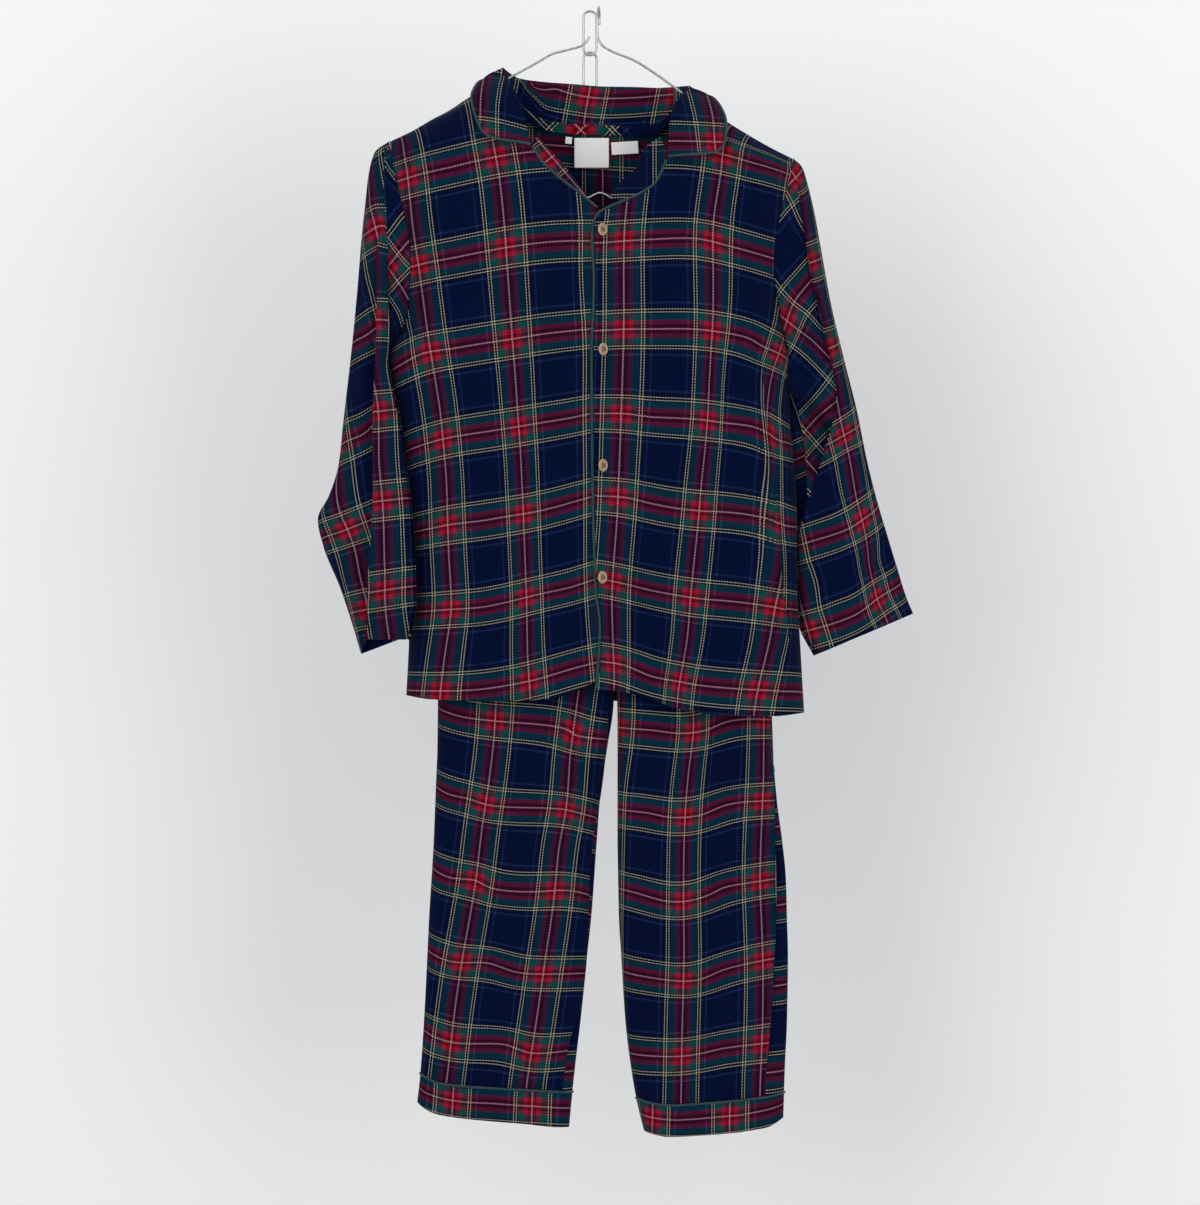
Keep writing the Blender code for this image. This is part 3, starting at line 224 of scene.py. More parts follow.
# %% Reading the folds
def folds(rows, x, z):
    """Sum of the long folds at a place, each fading out toward its two ends."""
    total = 0.0
    for x0, z0, x1, z1, wide, high in rows:
        if abs(x1 - x0) > abs(z1 - z0):
            along = np.clip((x - x0) / (x1 - x0), 0.0, 1.0)
            off = z - (z0 + (z1 - z0) * along)
        else:
            along = np.clip((z - z0) / (z1 - z0), 0.0, 1.0)
            off = x - (x0 + (x1 - x0) * along)
        total = total + high * np.sin(np.pi * along) ** 0.5 * np.exp(-(off / wide) ** 2)
    return total


def ripple(x, z, seed):
    """Slight unevenness of worn cloth, a fraction of a millimetre."""
    rng = np.random.default_rng(seed)
    total = 0.0
    for _ in range(9):
        way, size, turn = rng.uniform(-1, 1), rng.uniform(26, 90), rng.uniform(0, 6.28)
        total = total + np.sin(6.28 * (x * np.cos(way) + z * 0.45 * np.sin(way)) / size + turn)
    return 0.14 * total

# %% [markdown]
# ## The body as a shape
# The front and the back are both read as a depth from the shoulder plane: full in the middle,
# turned in to nothing at the side seams and over the shoulder.

# %% Depth of the body
SIDE_ROUND = 34.0          # how far in from the side fold a body panel is still turning
SHOULDER_ROUND = 46.0      # the same, down from the shoulder line
LAP_LIFT = 2.6             # the right front stands proud where it laps over the left
LAP_FROM, LAP_TO = 46.0, 16.0


def left_x(z):
    return curve(SIDE_LEFT, z)


def right_x(z):
    return curve(SIDE_RIGHT, z)


def edge_right(z):
    return curve(EDGE_RIGHT, z)


def body_depth(x, z, column):
    """Distance of the front (column 1) or back (column 2) from the shoulder plane."""
    deep = curve(BODY_DEPTH, z, column)
    gape_left = curve(SIDE_LEFT, z, 2) / deep
    gape_right = curve(SIDE_RIGHT, z, 2) / deep
    side_left = side_turn((x - left_x(z)) / SIDE_ROUND, gape_left)
    side_right = side_turn((right_x(z) - x) / SIDE_ROUND, gape_right)
    top = turn_in((curve(SHOULDER, x) - z) / SHOULDER_ROUND)
    rows = FRONT_FOLDS if column == 1 else BACK_FOLDS
    deep = deep + folds(rows, x, z) + ripple(x, z, column)
    return deep * side_left * side_right * top


def front_y(x, z):
    return -body_depth(x, z, 1) - SEAM / 2


def back_y(x, z):
    return body_depth(x, z, 2) + SEAM / 2


def lap(x):
    return LAP_LIFT * ramp((LAP_FROM - x) / (LAP_FROM - LAP_TO))


def right_front_y(x, z):
    return front_y(x, z) - lap(x)


def top_of(neck, low, high):
    """Top edge of a panel: the neck edge between low and high, the shoulder line outside it."""
    return lambda x: np.where((x <= low) | (x >= high), curve(SHOULDER, x), curve(neck, x))


print("chest:", round(float(body_depth(0.0, -250.0, 1) + body_depth(0.0, -250.0, 2)), 1), "mm deep")

# %% [markdown]
# ## A shell of cloth
# A real panel is one layer of flannel, so each piece here is a closed shell 1 mm thick: an outer
# grid, the same grid moved in by the thickness, and a narrow rim. Two maps are stored with it.
# `Sett` says which part of the woven check a place was cut from, and `OFBake` lays the shell out
# flat for baking.

# %% Which way is out
def unit(ways):
    """Directions made one long."""
    return ways / np.maximum(np.linalg.norm(ways, axis=-1, keepdims=True), 1e-9)


def grid_normals(grid, wrap):
    if wrap:
        across = np.roll(grid, -1, axis=1) - np.roll(grid, 1, axis=1)
    else:
        across = np.gradient(grid, axis=1)
    down = np.gradient(grid, axis=0)
    return unit(np.cross(across, down))


def wall_side(grid, wrap, toward, seam_plane):
    """Outward direction at each place of a shell."""
    normal = grid_normals(grid, wrap)
    if toward == "plane":
        aim = grid * (0.0, -1.0, 0.0)
    elif toward == "back":
        aim = np.zeros_like(grid) + (0.0, 1.0, 0.0)
    else:
        aim = grid.mean(axis=1, keepdims=True) - grid
    if np.sum(normal * aim) > 0:
        normal = -normal
    if seam_plane:
        flat = np.abs(grid[:, :, 1]) < 0.6
        normal[flat, 1] = 0.0
        normal = unit(normal)
    return normal

# %% [markdown]
# Blender makes a mesh from a list of points and a list of faces. Its UV layers then take one pair
# of numbers for each corner of each face.

# %% Mesh from points
def add_piece(name, points, faces, smooth, maps):
    """Mesh object from points in millimetres; maps holds a corner array for each UV layer."""
    mesh = bpy.data.meshes.new(name)
    mesh.from_pydata((np.asarray(points) * MM).tolist(), [], [list(f) for f in faces])
    mesh.update()
    for layer, values in maps.items():
        uv = mesh.uv_layers.new(name=layer)
        uv.data.foreach_set("uv", np.asarray(values, np.float32).ravel())
    mesh.polygons.foreach_set("use_smooth", np.asarray(smooth, bool))
    mesh.uv_layers.active = mesh.uv_layers["OFBake"]
    obj = bpy.data.objects.new(name, mesh)
    bpy.context.scene.collection.objects.link(obj)
    return obj

# %% [markdown]
# A Solidify modifier could thicken the grid, but its rim would have no map of its own. Building
# the four strips here keeps both maps whole, and lets the check jump from one region of columns
# to the next, as it does at a sharp fold.

# %% Closed shell of cloth
EDGE_ROOM, PLAN_WIDE, RIM_ROOM = 0.02, 0.44, 0.005      # shares of the flat plan


def cloth(name, grid, setts, regions=None, wall=CLOTH, wrap=False, toward="centre",
          seam_plane=False):
    """Closed shell from an outer grid. setts holds one check map per region of columns."""
    rows, cols, _ = grid.shape
    last = cols if wrap else cols - 1
    regions = np.zeros(last, int) if regions is None else np.asarray(regions)[:last]
    setts = np.stack(setts)
    inner = grid - wall_side(grid, wrap, toward, seam_plane) * wall
    points = np.concatenate([grid.reshape(-1, 3), inner.reshape(-1, 3)])
    shift = rows * cols

    def block(corners, flat):
        """Faces from four (row, column, layer, plan u, plan v) corners."""
        index = [(r * cols + c % cols + shift * layer) for r, c, layer, _, _ in corners]
        which = regions[flat]
        sett = [setts[which, r, c % cols] for r, c, _, _, _ in corners]
        plan = [np.stack([u + 0.0 * r, v + 0.0 * r], -1) for r, _, _, u, v in corners]
        return np.stack(index, 1), np.stack(sett, 1), np.stack(plan, 1)

    def across(c, layer):
        return EDGE_ROOM + PLAN_WIDE * c / last + 0.5 * layer

    def down(r):
        return EDGE_ROOM + (1 - 2 * EDGE_ROOM) * r / (rows - 1)

    i, j = (a.ravel() for a in np.meshgrid(np.arange(rows - 1), np.arange(last), indexing="ij"))
    v0, v1 = down(i), down(i + 1)

    parts = []
    for layer in (0, 1):
        u0, u1 = across(j, layer), across(j + 1, layer)
        ring = [(i, j, layer, u0, v0), (i, j + 1, layer, u1, v0), (i + 1, j + 1, layer, u1, v1),
                (i + 1, j, layer, u0, v1)]
        parts.append(block(ring if layer == 0 else ring[::-1], j))
    count = 2 * len(i)
    j = np.arange(last)
    near, far = EDGE_ROOM - RIM_ROOM, EDGE_ROOM - 3 * RIM_ROOM
    for row, v_edge, v_out, turned in ((0, near, far, True), (rows - 1, 1 - near, 1 - far, False)):
        r = np.full(last, row)
        u0, u1 = across(j, 0), across(j + 1, 0)
        ring = [(r, j, 0, u0, v_edge), (r, j + 1, 0, u1, v_edge), (r, j + 1, 1, u1, v_out),
                (r, j, 1, u0, v_out)]
        parts.append(block(ring[::-1] if turned else ring, j))
    if not wrap:
        i = np.arange(rows - 1)
        v0, v1 = down(i), down(i + 1)
        right = EDGE_ROOM + PLAN_WIDE + RIM_ROOM
        for col, u_edge, u_out, turned in ((0, near, far, False),
                                           (cols - 1, right, right + 2 * RIM_ROOM, True)):
            c = np.full(rows - 1, col)
            flat = np.full(rows - 1, min(col, last - 1))
            ring = [(i, c, 0, u_edge, v0), (i + 1, c, 0, u_edge, v1), (i + 1, c, 1, u_out, v1),
                    (i, c, 1, u_out, v0)]
            parts.append(block(ring[::-1] if turned else ring, flat))
    faces, sett, plan = (np.concatenate([p[k] for p in parts]) for k in range(3))
    a, b, c, d = (points[faces[:, k]] for k in range(4))
    volume = np.sum(a * np.cross(b, c)) + np.sum(a * np.cross(c, d))
    if volume < 0:
        faces, sett, plan = faces[:, ::-1], sett[:, ::-1], plan[:, ::-1]
    smooth = np.arange(len(faces)) < count
    return add_piece(name, points, faces, smooth, {"Sett": sett, "OFBake": plan})

# %% [markdown]
# Columns are laid out in spans, such as one from the side fold to a crease and one from the crease
# to the free edge, so that an edge of the mesh lies along every sharp fold.

# %% Columns in spans
def spans(counts, first=False, last=False):
    """Columns as (span, share), each span even inside and closer at a turning edge."""
    out = []
    for k, n in enumerate(counts):
        share = np.linspace(0.0, 1.0, n + 1)
        if k == 0 and first:
            share = 1 - np.cos(share * np.pi / 2)
        if k == len(counts) - 1 and last:
            share = np.sin(share * np.pi / 2)
        out += [(k, s) for s in share]
    return np.array([k for k, _ in out]), np.array([s for _, s in out])


def across_at(stops, span, share):
    """Place across for each column, with a hair's breadth where two spans meet."""
    stops = np.stack([np.broadcast_to(s, share.shape) for s in stops])
    column = np.arange(len(share))
    start, end = stops[span, column], stops[span + 1, column]
    apart = np.where((span > 0) & (share == 0.0), 0.12 * np.sign(end - start), 0.0)
    return start + (end - start) * share + apart

# %% [markdown]
# A tartan is a lattice: one number, `s`, counts repeats along the weft and the other, `t`, counts
# them along the warp. On a hanging garment the lattice drifts and bends with the folds. Each
# piece has a short table of places its white lines pass through, and a thin plate is bent through
# them, as a spring steel sheet would be.

# %% Thin plate through the lines
CREAM_AT = 0.208           # the cream pair lies this far, in repeats, either side of a white line
FAR, EYE_Z = 5000.0, -568.6    # where the eye stands: this far in front, this high


def line_points(lines, flat, ahead):
    """Points and values of a lattice table; fifths stand for the cream pairs.

    The tables are as seen from 5 m away, so places that lie ahead are brought in a little.
    """
    nearer = 1 - ahead / FAR
    places, values = [], []
    for value, path in lines:
        whole = round(value)
        if abs(value - whole) > 0.05:
            value = whole + CREAM_AT * np.sign(value - whole)
        for x, z in path:
            places.append(flat(np.float64(x * nearer), EYE_Z + (z - EYE_Z) * nearer))
            values.append(value)
    return np.array(places, float), np.array(values, float)


def plate_bend(gap):
    """How a thin plate bends with distance from a place where it is held."""
    return np.where(gap > 0, gap ** 2 * np.log(np.maximum(gap, 1e-9)), 0.0)


def thin_plate(lines, flat, ahead, ease=2e-3):
    """Reader of one lattice number over a piece, from the lines it passes through."""
    places, values = line_points(lines, flat, ahead)
    fit = np.linalg.lstsq(np.c_[places, np.ones(len(places))], values, rcond=None)[0]
    slope = fit[:2] / np.linalg.norm(fit[:2])
    low, high = values.min() + 0.05, values.max() - 0.05
    beyond = [places]
    more = [values]
    for mask, sign in ((values <= low, -1.0), (values >= high, 1.0)):
        beyond.append(places[mask] + sign * SETT * slope)
        more.append(values[mask] + sign)
    p, v = np.concatenate(beyond) / 100.0, np.concatenate(more)
    n = len(p)
    kernel = plate_bend(np.linalg.norm(p[:, None] - p[None], axis=2)) + ease * np.eye(n)
    flatness = np.c_[p, np.ones(n)]
    system = np.block([[kernel, flatness], [flatness.T, np.zeros((3, 3))]])
    weight = np.linalg.solve(system, np.r_[v, np.zeros(3)])

    def read(x, z):
        u, w = flat(x, z)
        at = np.stack([np.ravel(u), np.ravel(w)], 1) / 100.0
        bend = plate_bend(np.linalg.norm(at[:, None] - p[None], axis=2))
        out = bend @ weight[:n] + at @ weight[n:n + 2] + weight[n + 2]
        return out.reshape(np.shape(x))
    return read

# %% [markdown]
# Cloth that turns over a fold is longer than it looks from the front. So each place is first
# moved out to where it would lie with the fold pressed flat, and the plate is read there.

# %% Folds laid flat
def unrolled(t):
    """Extra length of cloth that a quarter round turning hides, for a radius of 1."""
    phi = np.arccos(1 - np.clip(t, 0.0, 1.0))
    return (np.pi / 2 - 1) - (phi - (1 - np.cos(phi)))


def flat_body(x, z):
    """Place on the jacket once its sides and shoulders are laid flat."""
    deep = curve(BODY_DEPTH, z)
    shut_left = 1 - np.clip(3 * curve(SIDE_LEFT, z, 2) / deep, 0.0, 1.0)
    shut_right = 1 - np.clip(3 * curve(SIDE_RIGHT, z, 2) / deep, 0.0, 1.0)
    u = x - SIDE_ROUND * unrolled((x - left_x(z)) / SIDE_ROUND) * shut_left
    u = u + SIDE_ROUND * unrolled((right_x(z) - x) / SIDE_ROUND) * shut_right
    w = z + SHOULDER_ROUND * unrolled((curve(SHOULDER, x) - z) / SHOULDER_ROUND)
    return u, w


def lattice(warp, weft, flat, ahead):
    """Reader of both numbers of the check, as an array with s and t last."""
    read_s, read_t = thin_plate(warp, flat, ahead), thin_plate(weft, flat, ahead)
    return lambda x, z: np.stack([read_s(x, z), read_t(x, z)], axis=-1)

# %% [markdown]
# ### Where the white lines lie on the two fronts
# The lines could be spaced evenly, but worn cloth drifts by several millimetres. So each table
# gives places at a few heights (for lines that run down) or across (for lines that run round).
# The number before a row counts the line.

# %% Check on the jacket fronts
def lines_down(heights, rows):
    """Warp lines: for each line its x at every height."""
    return [(line, list(zip(xs, heights))) for line, xs in rows.items()]


def lines_across(places, rows):
    """Weft lines: for each line its z at every place across."""
    return [(line, list(zip(places, zs))) for line, zs in rows.items()]


LEFT_FRONT_WARP = lines_down((-124.4, -163.4, -207.1, -252.7, -321.1, -385.7, -456, -528.2, -575.7,
        -613.7, -656.4), {
    0: (-190, -182.9, -178.6, -171.9, -162.4, -152, -145.8, -143.4, -141.5, -146.8, -152),
    1: (-102.9, -95.9, -91.2, -87.9, -83.1, -78.4, -74.1, -71.2, -69.5, -69, -66.5),
    2: (-9.5, -3.8, 0.5, 0, 3.8, 2.8, 2.7, 1.9, 3.3, 6.6, 10.4)})
LEFT_FRONT_WEFT = lines_across((-190, -168.2, -142.5, -114, -85.5, -57, -28.5, -4.8), {
    0: (-166.7, -161, -155.3, -148.2, -143, -139.7, -137.8, -136.8),
    1: (-251.8, -246.5, -241.8, -236.1, -230.8, -227, -225.1, -225.1),
    2: (-342.9, -332, -327.8, -323, -318.7, -314, -310.6, -308.3),
    3: (-428.4, -418.5, -411.8, -407.1, -402.8, -398, -393.3, -388.5),
    4: (-505.4, -499.7, -494.5, -491.1, -486.4, -481.6, -474, -467.4),
    5: (-578.1, -577.1, -575.2, -573.3, -567.6, -560.5, -554.3, -546.7),
    6: (-652.6, -652.6, -652.6, -651.2, -646.9, -640.8, -632.2, -626)})
RIGHT_FRONT_WARP = lines_down((-130.2, -159.6, -207.1, -252.7, -309.7, -347.7, -385.7, -420.8, -456,
        -491.1, -526.3, -563.4, -605.1, -651.7), {
    0: (32.3, 29.4, 23.8, 22.5, 22.5, 21.5, 20.2, 19, 17.6, 16.1, 13.3, 11.4, 12.3, 13.3),
    1: (118.1, 114.9, 107.8, 107.5, 106.8, 104.5, 102.8, 100.1, 96.4, 93.5, 89.8, 86.1, 82.6, 74.6),
    2: (201.4, 197.6, 191.9, 189, 178.6, 166.1, 163.4, 166.2, 166.7, 167.2, 168.2, 165.3, 161, 150.1)})
RIGHT_FRONT_WEFT = lines_across((0, 23.8, 47.5, 71.2, 95, 118.8, 142.5, 156.8, 166.2, 173.8, 188.1), {
    0: (-138.7, -137.8, -136.8, -136.3, -138.2, -143, -149.6, -153.4, -155.8, -157.7, -162),
    1: (-226.9, -225.1, -223.7, -222.5, -223.2, -228.9, -235.1, -238.9, -241.3, -243.2, -247),
    2: (-310.4, -309.1, -308.8, -308.5, -309.2, -312.4, -317.8, -326.3, -329.6, -333.4, -343.9),
    3: (-389.2, -389.2, -392.2, -393.3, -394.7, -398, -400.9, -405.6, -413.2, -416.1, -418.9),
    4: (-467.4, -468.8, -474.3, -478.8, -481.5, -482.6, -485.4, -488.3, -491.1, -495.9, -497.8),
    5: (-546.2, -551, -556.9, -561.4, -565, -566.9, -569.5, -571.6, -573.1, -574.8, -576.6),
    6: (-624.6, -628.4, -638.4, -643.1, -647.4, -649.8, -651.4, -652, -652.6, -653.1, -653.6)})

read_left = lattice(LEFT_FRONT_WARP, LEFT_FRONT_WEFT, flat_body, 35.0)
read_right = lattice(RIGHT_FRONT_WARP, RIGHT_FRONT_WEFT, flat_body, 37.0)
print("lines on the fronts:", len(LEFT_FRONT_WEFT), "round and",
      len(LEFT_FRONT_WARP) + len(RIGHT_FRONT_WARP), "down")

# %% [markdown]
# ## The body panels
# A panel's columns run from the side fold to the free edge, and its rows from the top edge to the
# hem. Rows lie closer together where the cloth turns over the shoulder.

# %% Panel grid
MIDDLE_TOP, MIDDLE_LOW = -130.0, -655.0    # first guess at a column's two ends
OVER_TOP = 27.0            # the part of a column that turns over the shoulder


def panel(stops_of, counts, top_z, hem_z, y_of, rows, turning=9, last=False):
    """Grid of a body panel and the span that each column belongs to."""
    span, share = spans(counts, first=True, last=last)
    x_at = lambda z: across_at(stops_of(z), span, share)
    z_top, z_low = np.full(len(share), MIDDLE_TOP), np.full(len(share), MIDDLE_LOW)
    for _ in range(16):
        z_top = 0.4 * z_top + 0.6 * top_z(x_at(z_top))
        z_low = 0.4 * z_low + 0.6 * hem_z(x_at(z_low))
    down = OVER_TOP * (1 - np.cos(np.linspace(0, 1, turning) * np.pi / 2))
    lines = [(d, 0.0) for d in down] + [(OVER_TOP, k) for k in np.linspace(0, 1, rows)[1:]]
    grid = []
    for d, part in lines:
        z = z_top - d - part * (z_top - OVER_TOP - z_low)
        x = x_at(z)
        grid.append(np.stack([x, y_of(x, z, span), z], 1))
    return np.array(grid), span

# %% [markdown]
# The right front has one sharp crease near the side, where a little cloth is tucked under: the
# check jumps by up to a ninth of a repeat across it and steps down a few millimetres.

# %% Left front, right front
#                 z        x
CREASE_RIGHT = [(-150, 146), (-330, 152), (-425, 160.6), (-493, 169), (-555, 172.9),
                (-577, 176.7), (-674, 182)]
#                 z      repeats tucked under, drop in mm
TUCK = [(-330, 0, 0), (-410, 0.09, 3), (-480, 0.115, 4.5), (-560, 0.06, 4),
        (-620, 0, 0)]

grid, span = panel(lambda z: [left_x(z), left_x(z) + SIDE_ROUND, EDGE_LEFT_X + 0 * z], [14, 60],
                   top_of(NECK_LEFT, -98.0, 400.0), lambda x: curve(HEM_LEFT, x),
                   lambda x, z, k: front_y(x, z), 130)
front_left = cloth("jacket_front_left", grid, [read_left(grid[..., 0], grid[..., 2])],
                   toward="plane", seam_plane=True)

grid, span = panel(lambda z: [right_x(z), curve(CREASE_RIGHT, z), edge_right(z)], [16, 64],
                   top_of(NECK_RIGHT, -400.0, 86.0), lambda x: curve(HEM_RIGHT, x),
                   lambda x, z, k: right_front_y(x, z) + (k == 0) * curve(TUCK, z, 2) * 0.4, 130)
x, z = grid[..., 0], grid[..., 2]
sett = read_right(x, z)
tuck = curve(TUCK, z, 1)
near = np.exp(-(np.maximum(curve(CREASE_RIGHT, z) - x, 0.0) / 14.0) ** 2)
inside = sett - np.stack([tuck * near, 0 * z], -1)
outside = sett + np.stack([tuck, 0.3 * curve(TUCK, z, 2) / SETT], -1)
front_right = cloth("jacket_front_right", grid, [outside, inside], span, toward="plane",
                    seam_plane=True)
print("fronts:", len(front_left.data.polygons), len(front_right.data.polygons), "faces")

# %% [markdown]
# The back is one piece. Its check is a plain lattice with a slight drift, which needs no table;
# its inner face shows in the neck, where one white line runs down the middle.

# %% Back
def read_back(x, z):
    u, w = flat_body(x, z)
    s = (u - 1.0) / SETT + 0.02 * np.sin(w / 140.0)
    t = (-133.5 - 6.0 * np.tanh(x / 60.0) - w + 2.2 * np.sin(u / 47.0 + w / 160.0)) / SETT
    return np.stack([s, t], axis=-1)


grid, span = panel(lambda z: [left_x(z), left_x(z) + SIDE_ROUND, right_x(z) - SIDE_ROUND, right_x(z)],
                   [12, 72, 12], lambda x: np.where((x > -98.0) & (x < 86.0), curve(NECK_BACK, x),
                                                    curve(SHOULDER, x)),
                   lambda x: curve(HEM_BACK, x), lambda x, z, k: back_y(x, z), 110, last=True)
back = cloth("jacket_back", grid, [read_back(grid[..., 0], grid[..., 2])], toward="plane",
             seam_plane=True)
print("back:", len(back.data.polygons), "faces")

# %% [markdown]
# ## Sleeves
# A sleeve is a flattened tube. Each row of the table gives its outer line (top of the arm), its
# inner line (underarm), how deep it is in front and behind, and how strong the long fold is.

# %% Left sleeve table
#                 ox      oy     oz       ix      iy     iz     front back  fold
SLEEVE_LEFT = [
    (-200.5, 0, -130.5, -191.5, 0, -324.5, 25, 25, 0),
    (-214, 0, -141, -194, -1, -330, 26, 25, 0),
    (-220, 0, -163, -197.5, -5, -337, 24, 24, 0.2),
    (-223, 0, -190, -199, -10, -346, 21, 22, 0.5),
    (-226.5, 0, -222, -196.5, -17, -362, 18, 20, 0.9),
    (-230.5, 0, -271, -190, -27, -387, 15, 18, 1),
    (-236, 0, -328, -186, -32, -418, 14, 16, 1),
    (-243.5, 0, -393, -181, -36, -455, 13, 14, 1),
    (-248.5, 0, -438, -178, -38, -480, 13, 13, 1),
    (-257, -2, -466, -176, -39, -499, 13, 13, 1),
    (-268, -3, -490, -174.5, -40, -519, 13, 13, 1),
    (-262.5, -3, -516, -174, -40, -540, 13, 13, 1),
    (-247, -2, -554, -173.5, -40, -565, 13, 13, 1),
    (-236, -1, -587, -176, -39, -584, 13, 13, 1),
    (-227, 0, -617.5, -180.5, -38, -600, 13, 13, 1),
]
print("left sleeve:", SLEEVE_LEFT[0][2] - SLEEVE_LEFT[-1][2], "mm long")

# %% [markdown]
# The right arm hangs a little further out, bent at the elbow, and its underarm edge slips behind
# the side of the body.

# %% Right sleeve table
SLEEVE_RIGHT = [
    (183.5, 0, -146.5, 181.5, 0, -338.5, 25, 25, 0),
    (192, 0, -155, 181, 0, -346, 26, 25, 0.2),
    (197, 0, -170, 179, 0, -355, 25, 24, 0.5),
    (203, 0, -195, 178, 0, -366, 23, 22, 0.8),
    (209.5, 0, -230, 177.5, 1, -385, 21, 20, 1),
    (219.5, 0, -285, 178.5, 3, -410, 19, 18, 1),
    (232, 0, -338, 180.5, 4, -437, 18, 17, 0.9),
    (244, 0, -386, 183, 5, -462, 17, 16, 0.6),
    (253.5, 0, -433, 184, 5, -487, 16, 15, 0.3),
    (263, 0, -471, 185, 5, -512, 15, 14, 0),
    (273, 0, -505, 186, 5, -538, 14, 13, 0),
    (283, 0, -538, 187, 5, -568, 13, 12, 0),
    (290.5, 0, -562, 189, 4, -590, 12, 12, 0),
    (297.5, 0, -579, 203, 0, -619, 12, 12, 0),
]
print("right sleeve:", SLEEVE_RIGHT[0][2] - SLEEVE_RIGHT[-1][2], "mm long")

# %% [markdown]
# The front of each sleeve is folded along its length. On the left one a flap of cloth lies proud
# between two edges; on the right one the cloth turns under beside the body and bags at the elbow.

# %% Sleeve folds
#             z       x    left edge, then right edge, of the flap on the left sleeve's front
FLAP_FROM = [(-130, -205.5), (-165, -205), (-190, -204.3), (-214, -202.4), (-224, -210.6),
             (-276, -211), (-337, -212.3), (-393, -215), (-460, -214.7),
             (-503, -216), (-541, -218.8), (-575, -220.4), (-605, -220.4)]
FLAP_TO = [(-130, -205), (-214, -201.8), (-262, -200.5), (-306, -199.5), (-340, -198.5),
           (-364, -197.6), (-383, -192.9), (-406, -189), (-420, -184), (-520, -168)]
#              z       x    the right sleeve's fold line, from the shoulder past the elbow
FOLD_RIGHT = [(-120, 184), (-160, 187), (-191, 189.4), (-215, 192.9), (-246, 197.6),
              (-263, 201), (-290, 207.3), (-318, 214), (-348, 220.8), (-366, 224.7),
              (-376, 224.5), (-405, 218.5), (-440, 208), (-473, 197.6), (-520, 184)]
#               z       x    where the right sleeve's front layer turns under, beside the body
UNDER_RIGHT = [(-330, 150), (-356, 172), (-372, 182), (-392, 190), (-437, 195.5),
               (-487, 197.5), (-538, 198), (-568, 197), (-590, 198), (-619, 205)]
#              x       z    lower edge of the cloth that bags over the right elbow
ELBOW_ROLL = [(180, -366), (197.8, -377), (211, -391), (224, -413), (235, -440)]
print("bagging elbow:", ELBOW_ROLL[-1][0] - ELBOW_ROLL[0][0], "mm across")

# %% [markdown]
# The lattice of each sleeve has an outer part, which follows the arm, and an inner part in front
# of the armhole where the cloth is pulled on the bias, so its lines run diagonally. Each line has
# its own places here, as x and z along it, because a sleeve shows only short runs of it.

# %% Check on the left sleeve
LEFT_OUTER_WARP = [
    (1, [(-219.8, -177.8), (-218.4, -193.4), (-215.9, -202.1), (-212.6, -215.6)]),
    (0.8, [(-224.7, -238.9), (-220.8, -262.2), (-217.5, -273.6), (-215, -284.5)]),
    (0.2, [(-240.3, -402.8), (-235.6, -431.3), (-229.4, -473.6), (-220.4, -501.6)]),
    (0, [(-247, -483.5), (-240.3, -497.8), (-232.8, -517.8), (-228, -543.4), (-222.3, -566.2),
        (-216.6, -604.2)]),
]
LEFT_OUTER_WEFT = [
    (-0.8, [(-213.1, -141.5), (-205.3, -136.1)]),
    (-0.2, [(-223.7, -197.2), (-217.9, -193.8), (-212.1, -191.4), (-205.3, -192.4)]),
    (0, [(-224.7, -219.1), (-217.9, -215.2), (-210.6, -210.9), (-203.3, -211.3)]),
    (0.2, [(-226.2, -239.9), (-217.9, -234.6), (-211.1, -231.1)]),
    (1, [(-234.4, -320.1), (-222.8, -315), (-211.7, -306.8)]),
    (1.8, [(-238.7, -394.1), (-227.6, -390.2), (-215.5, -382.8)]),
    (2, [(-236.5, -413.2), (-223.7, -408.1), (-214.5, -398.9)]),
    (3, [(-247, -501.6), (-217.5, -490.2)]),
    (3.8, [(-242.2, -561.4), (-226.1, -557.6)]),
    (4, [(-237.9, -579.1), (-222.3, -575.4)]),
    (4.2, [(-232.4, -594.7), (-223.2, -592.3)]),
]
LEFT_FLAP_WARP = [
    (1, [(-211.8, -373.3), (-210.1, -385.7), (-209.2, -435.1), (-205.7, -473.6), (-203.9, -528.2),
        (-203.6, -557.6), (-202.7, -579.1), (-199.8, -600.4)]),
    (0.8, [(-220.1, -553.7), (-221.3, -579.1), (-218, -602.3)]),
    (1.2, [(-199.5, -324.9), (-200.9, -344.6), (-197.6, -363.8), (-193.8, -388.3), (-192.8, -407.5),
        (-185.2, -536.8), (-185.2, -570.6), (-181.9, -596)]),
]
LEFT_FLAP_WEFT = [
    (0.2, [(-209.7, -228.8), (-202, -231.1)]),
    (0.8, [(-206.7, -281.7), (-201.4, -281.7)]),
    (1, [(-207.3, -300.5), (-200, -301)]),
    (1.2, [(-209.2, -319.2), (-199.5, -319.2)]),
    (1.8, [(-211.7, -369.4), (-194.8, -368.3)]),
    (2, [(-211.1, -387.6), (-191.9, -385.7)]),
    (2.2, [(-211.7, -405.6), (-189, -403.3)]),
    (3, [(-212.8, -473.1), (-185.2, -470.2)]),
    (3.8, [(-218.9, -541.5), (-174.8, -535.4)]),
    (4, [(-219.6, -559.2), (-173.8, -552.9)]),
    (4.2, [(-221.3, -576.9), (-173.8, -569.8)]),
]
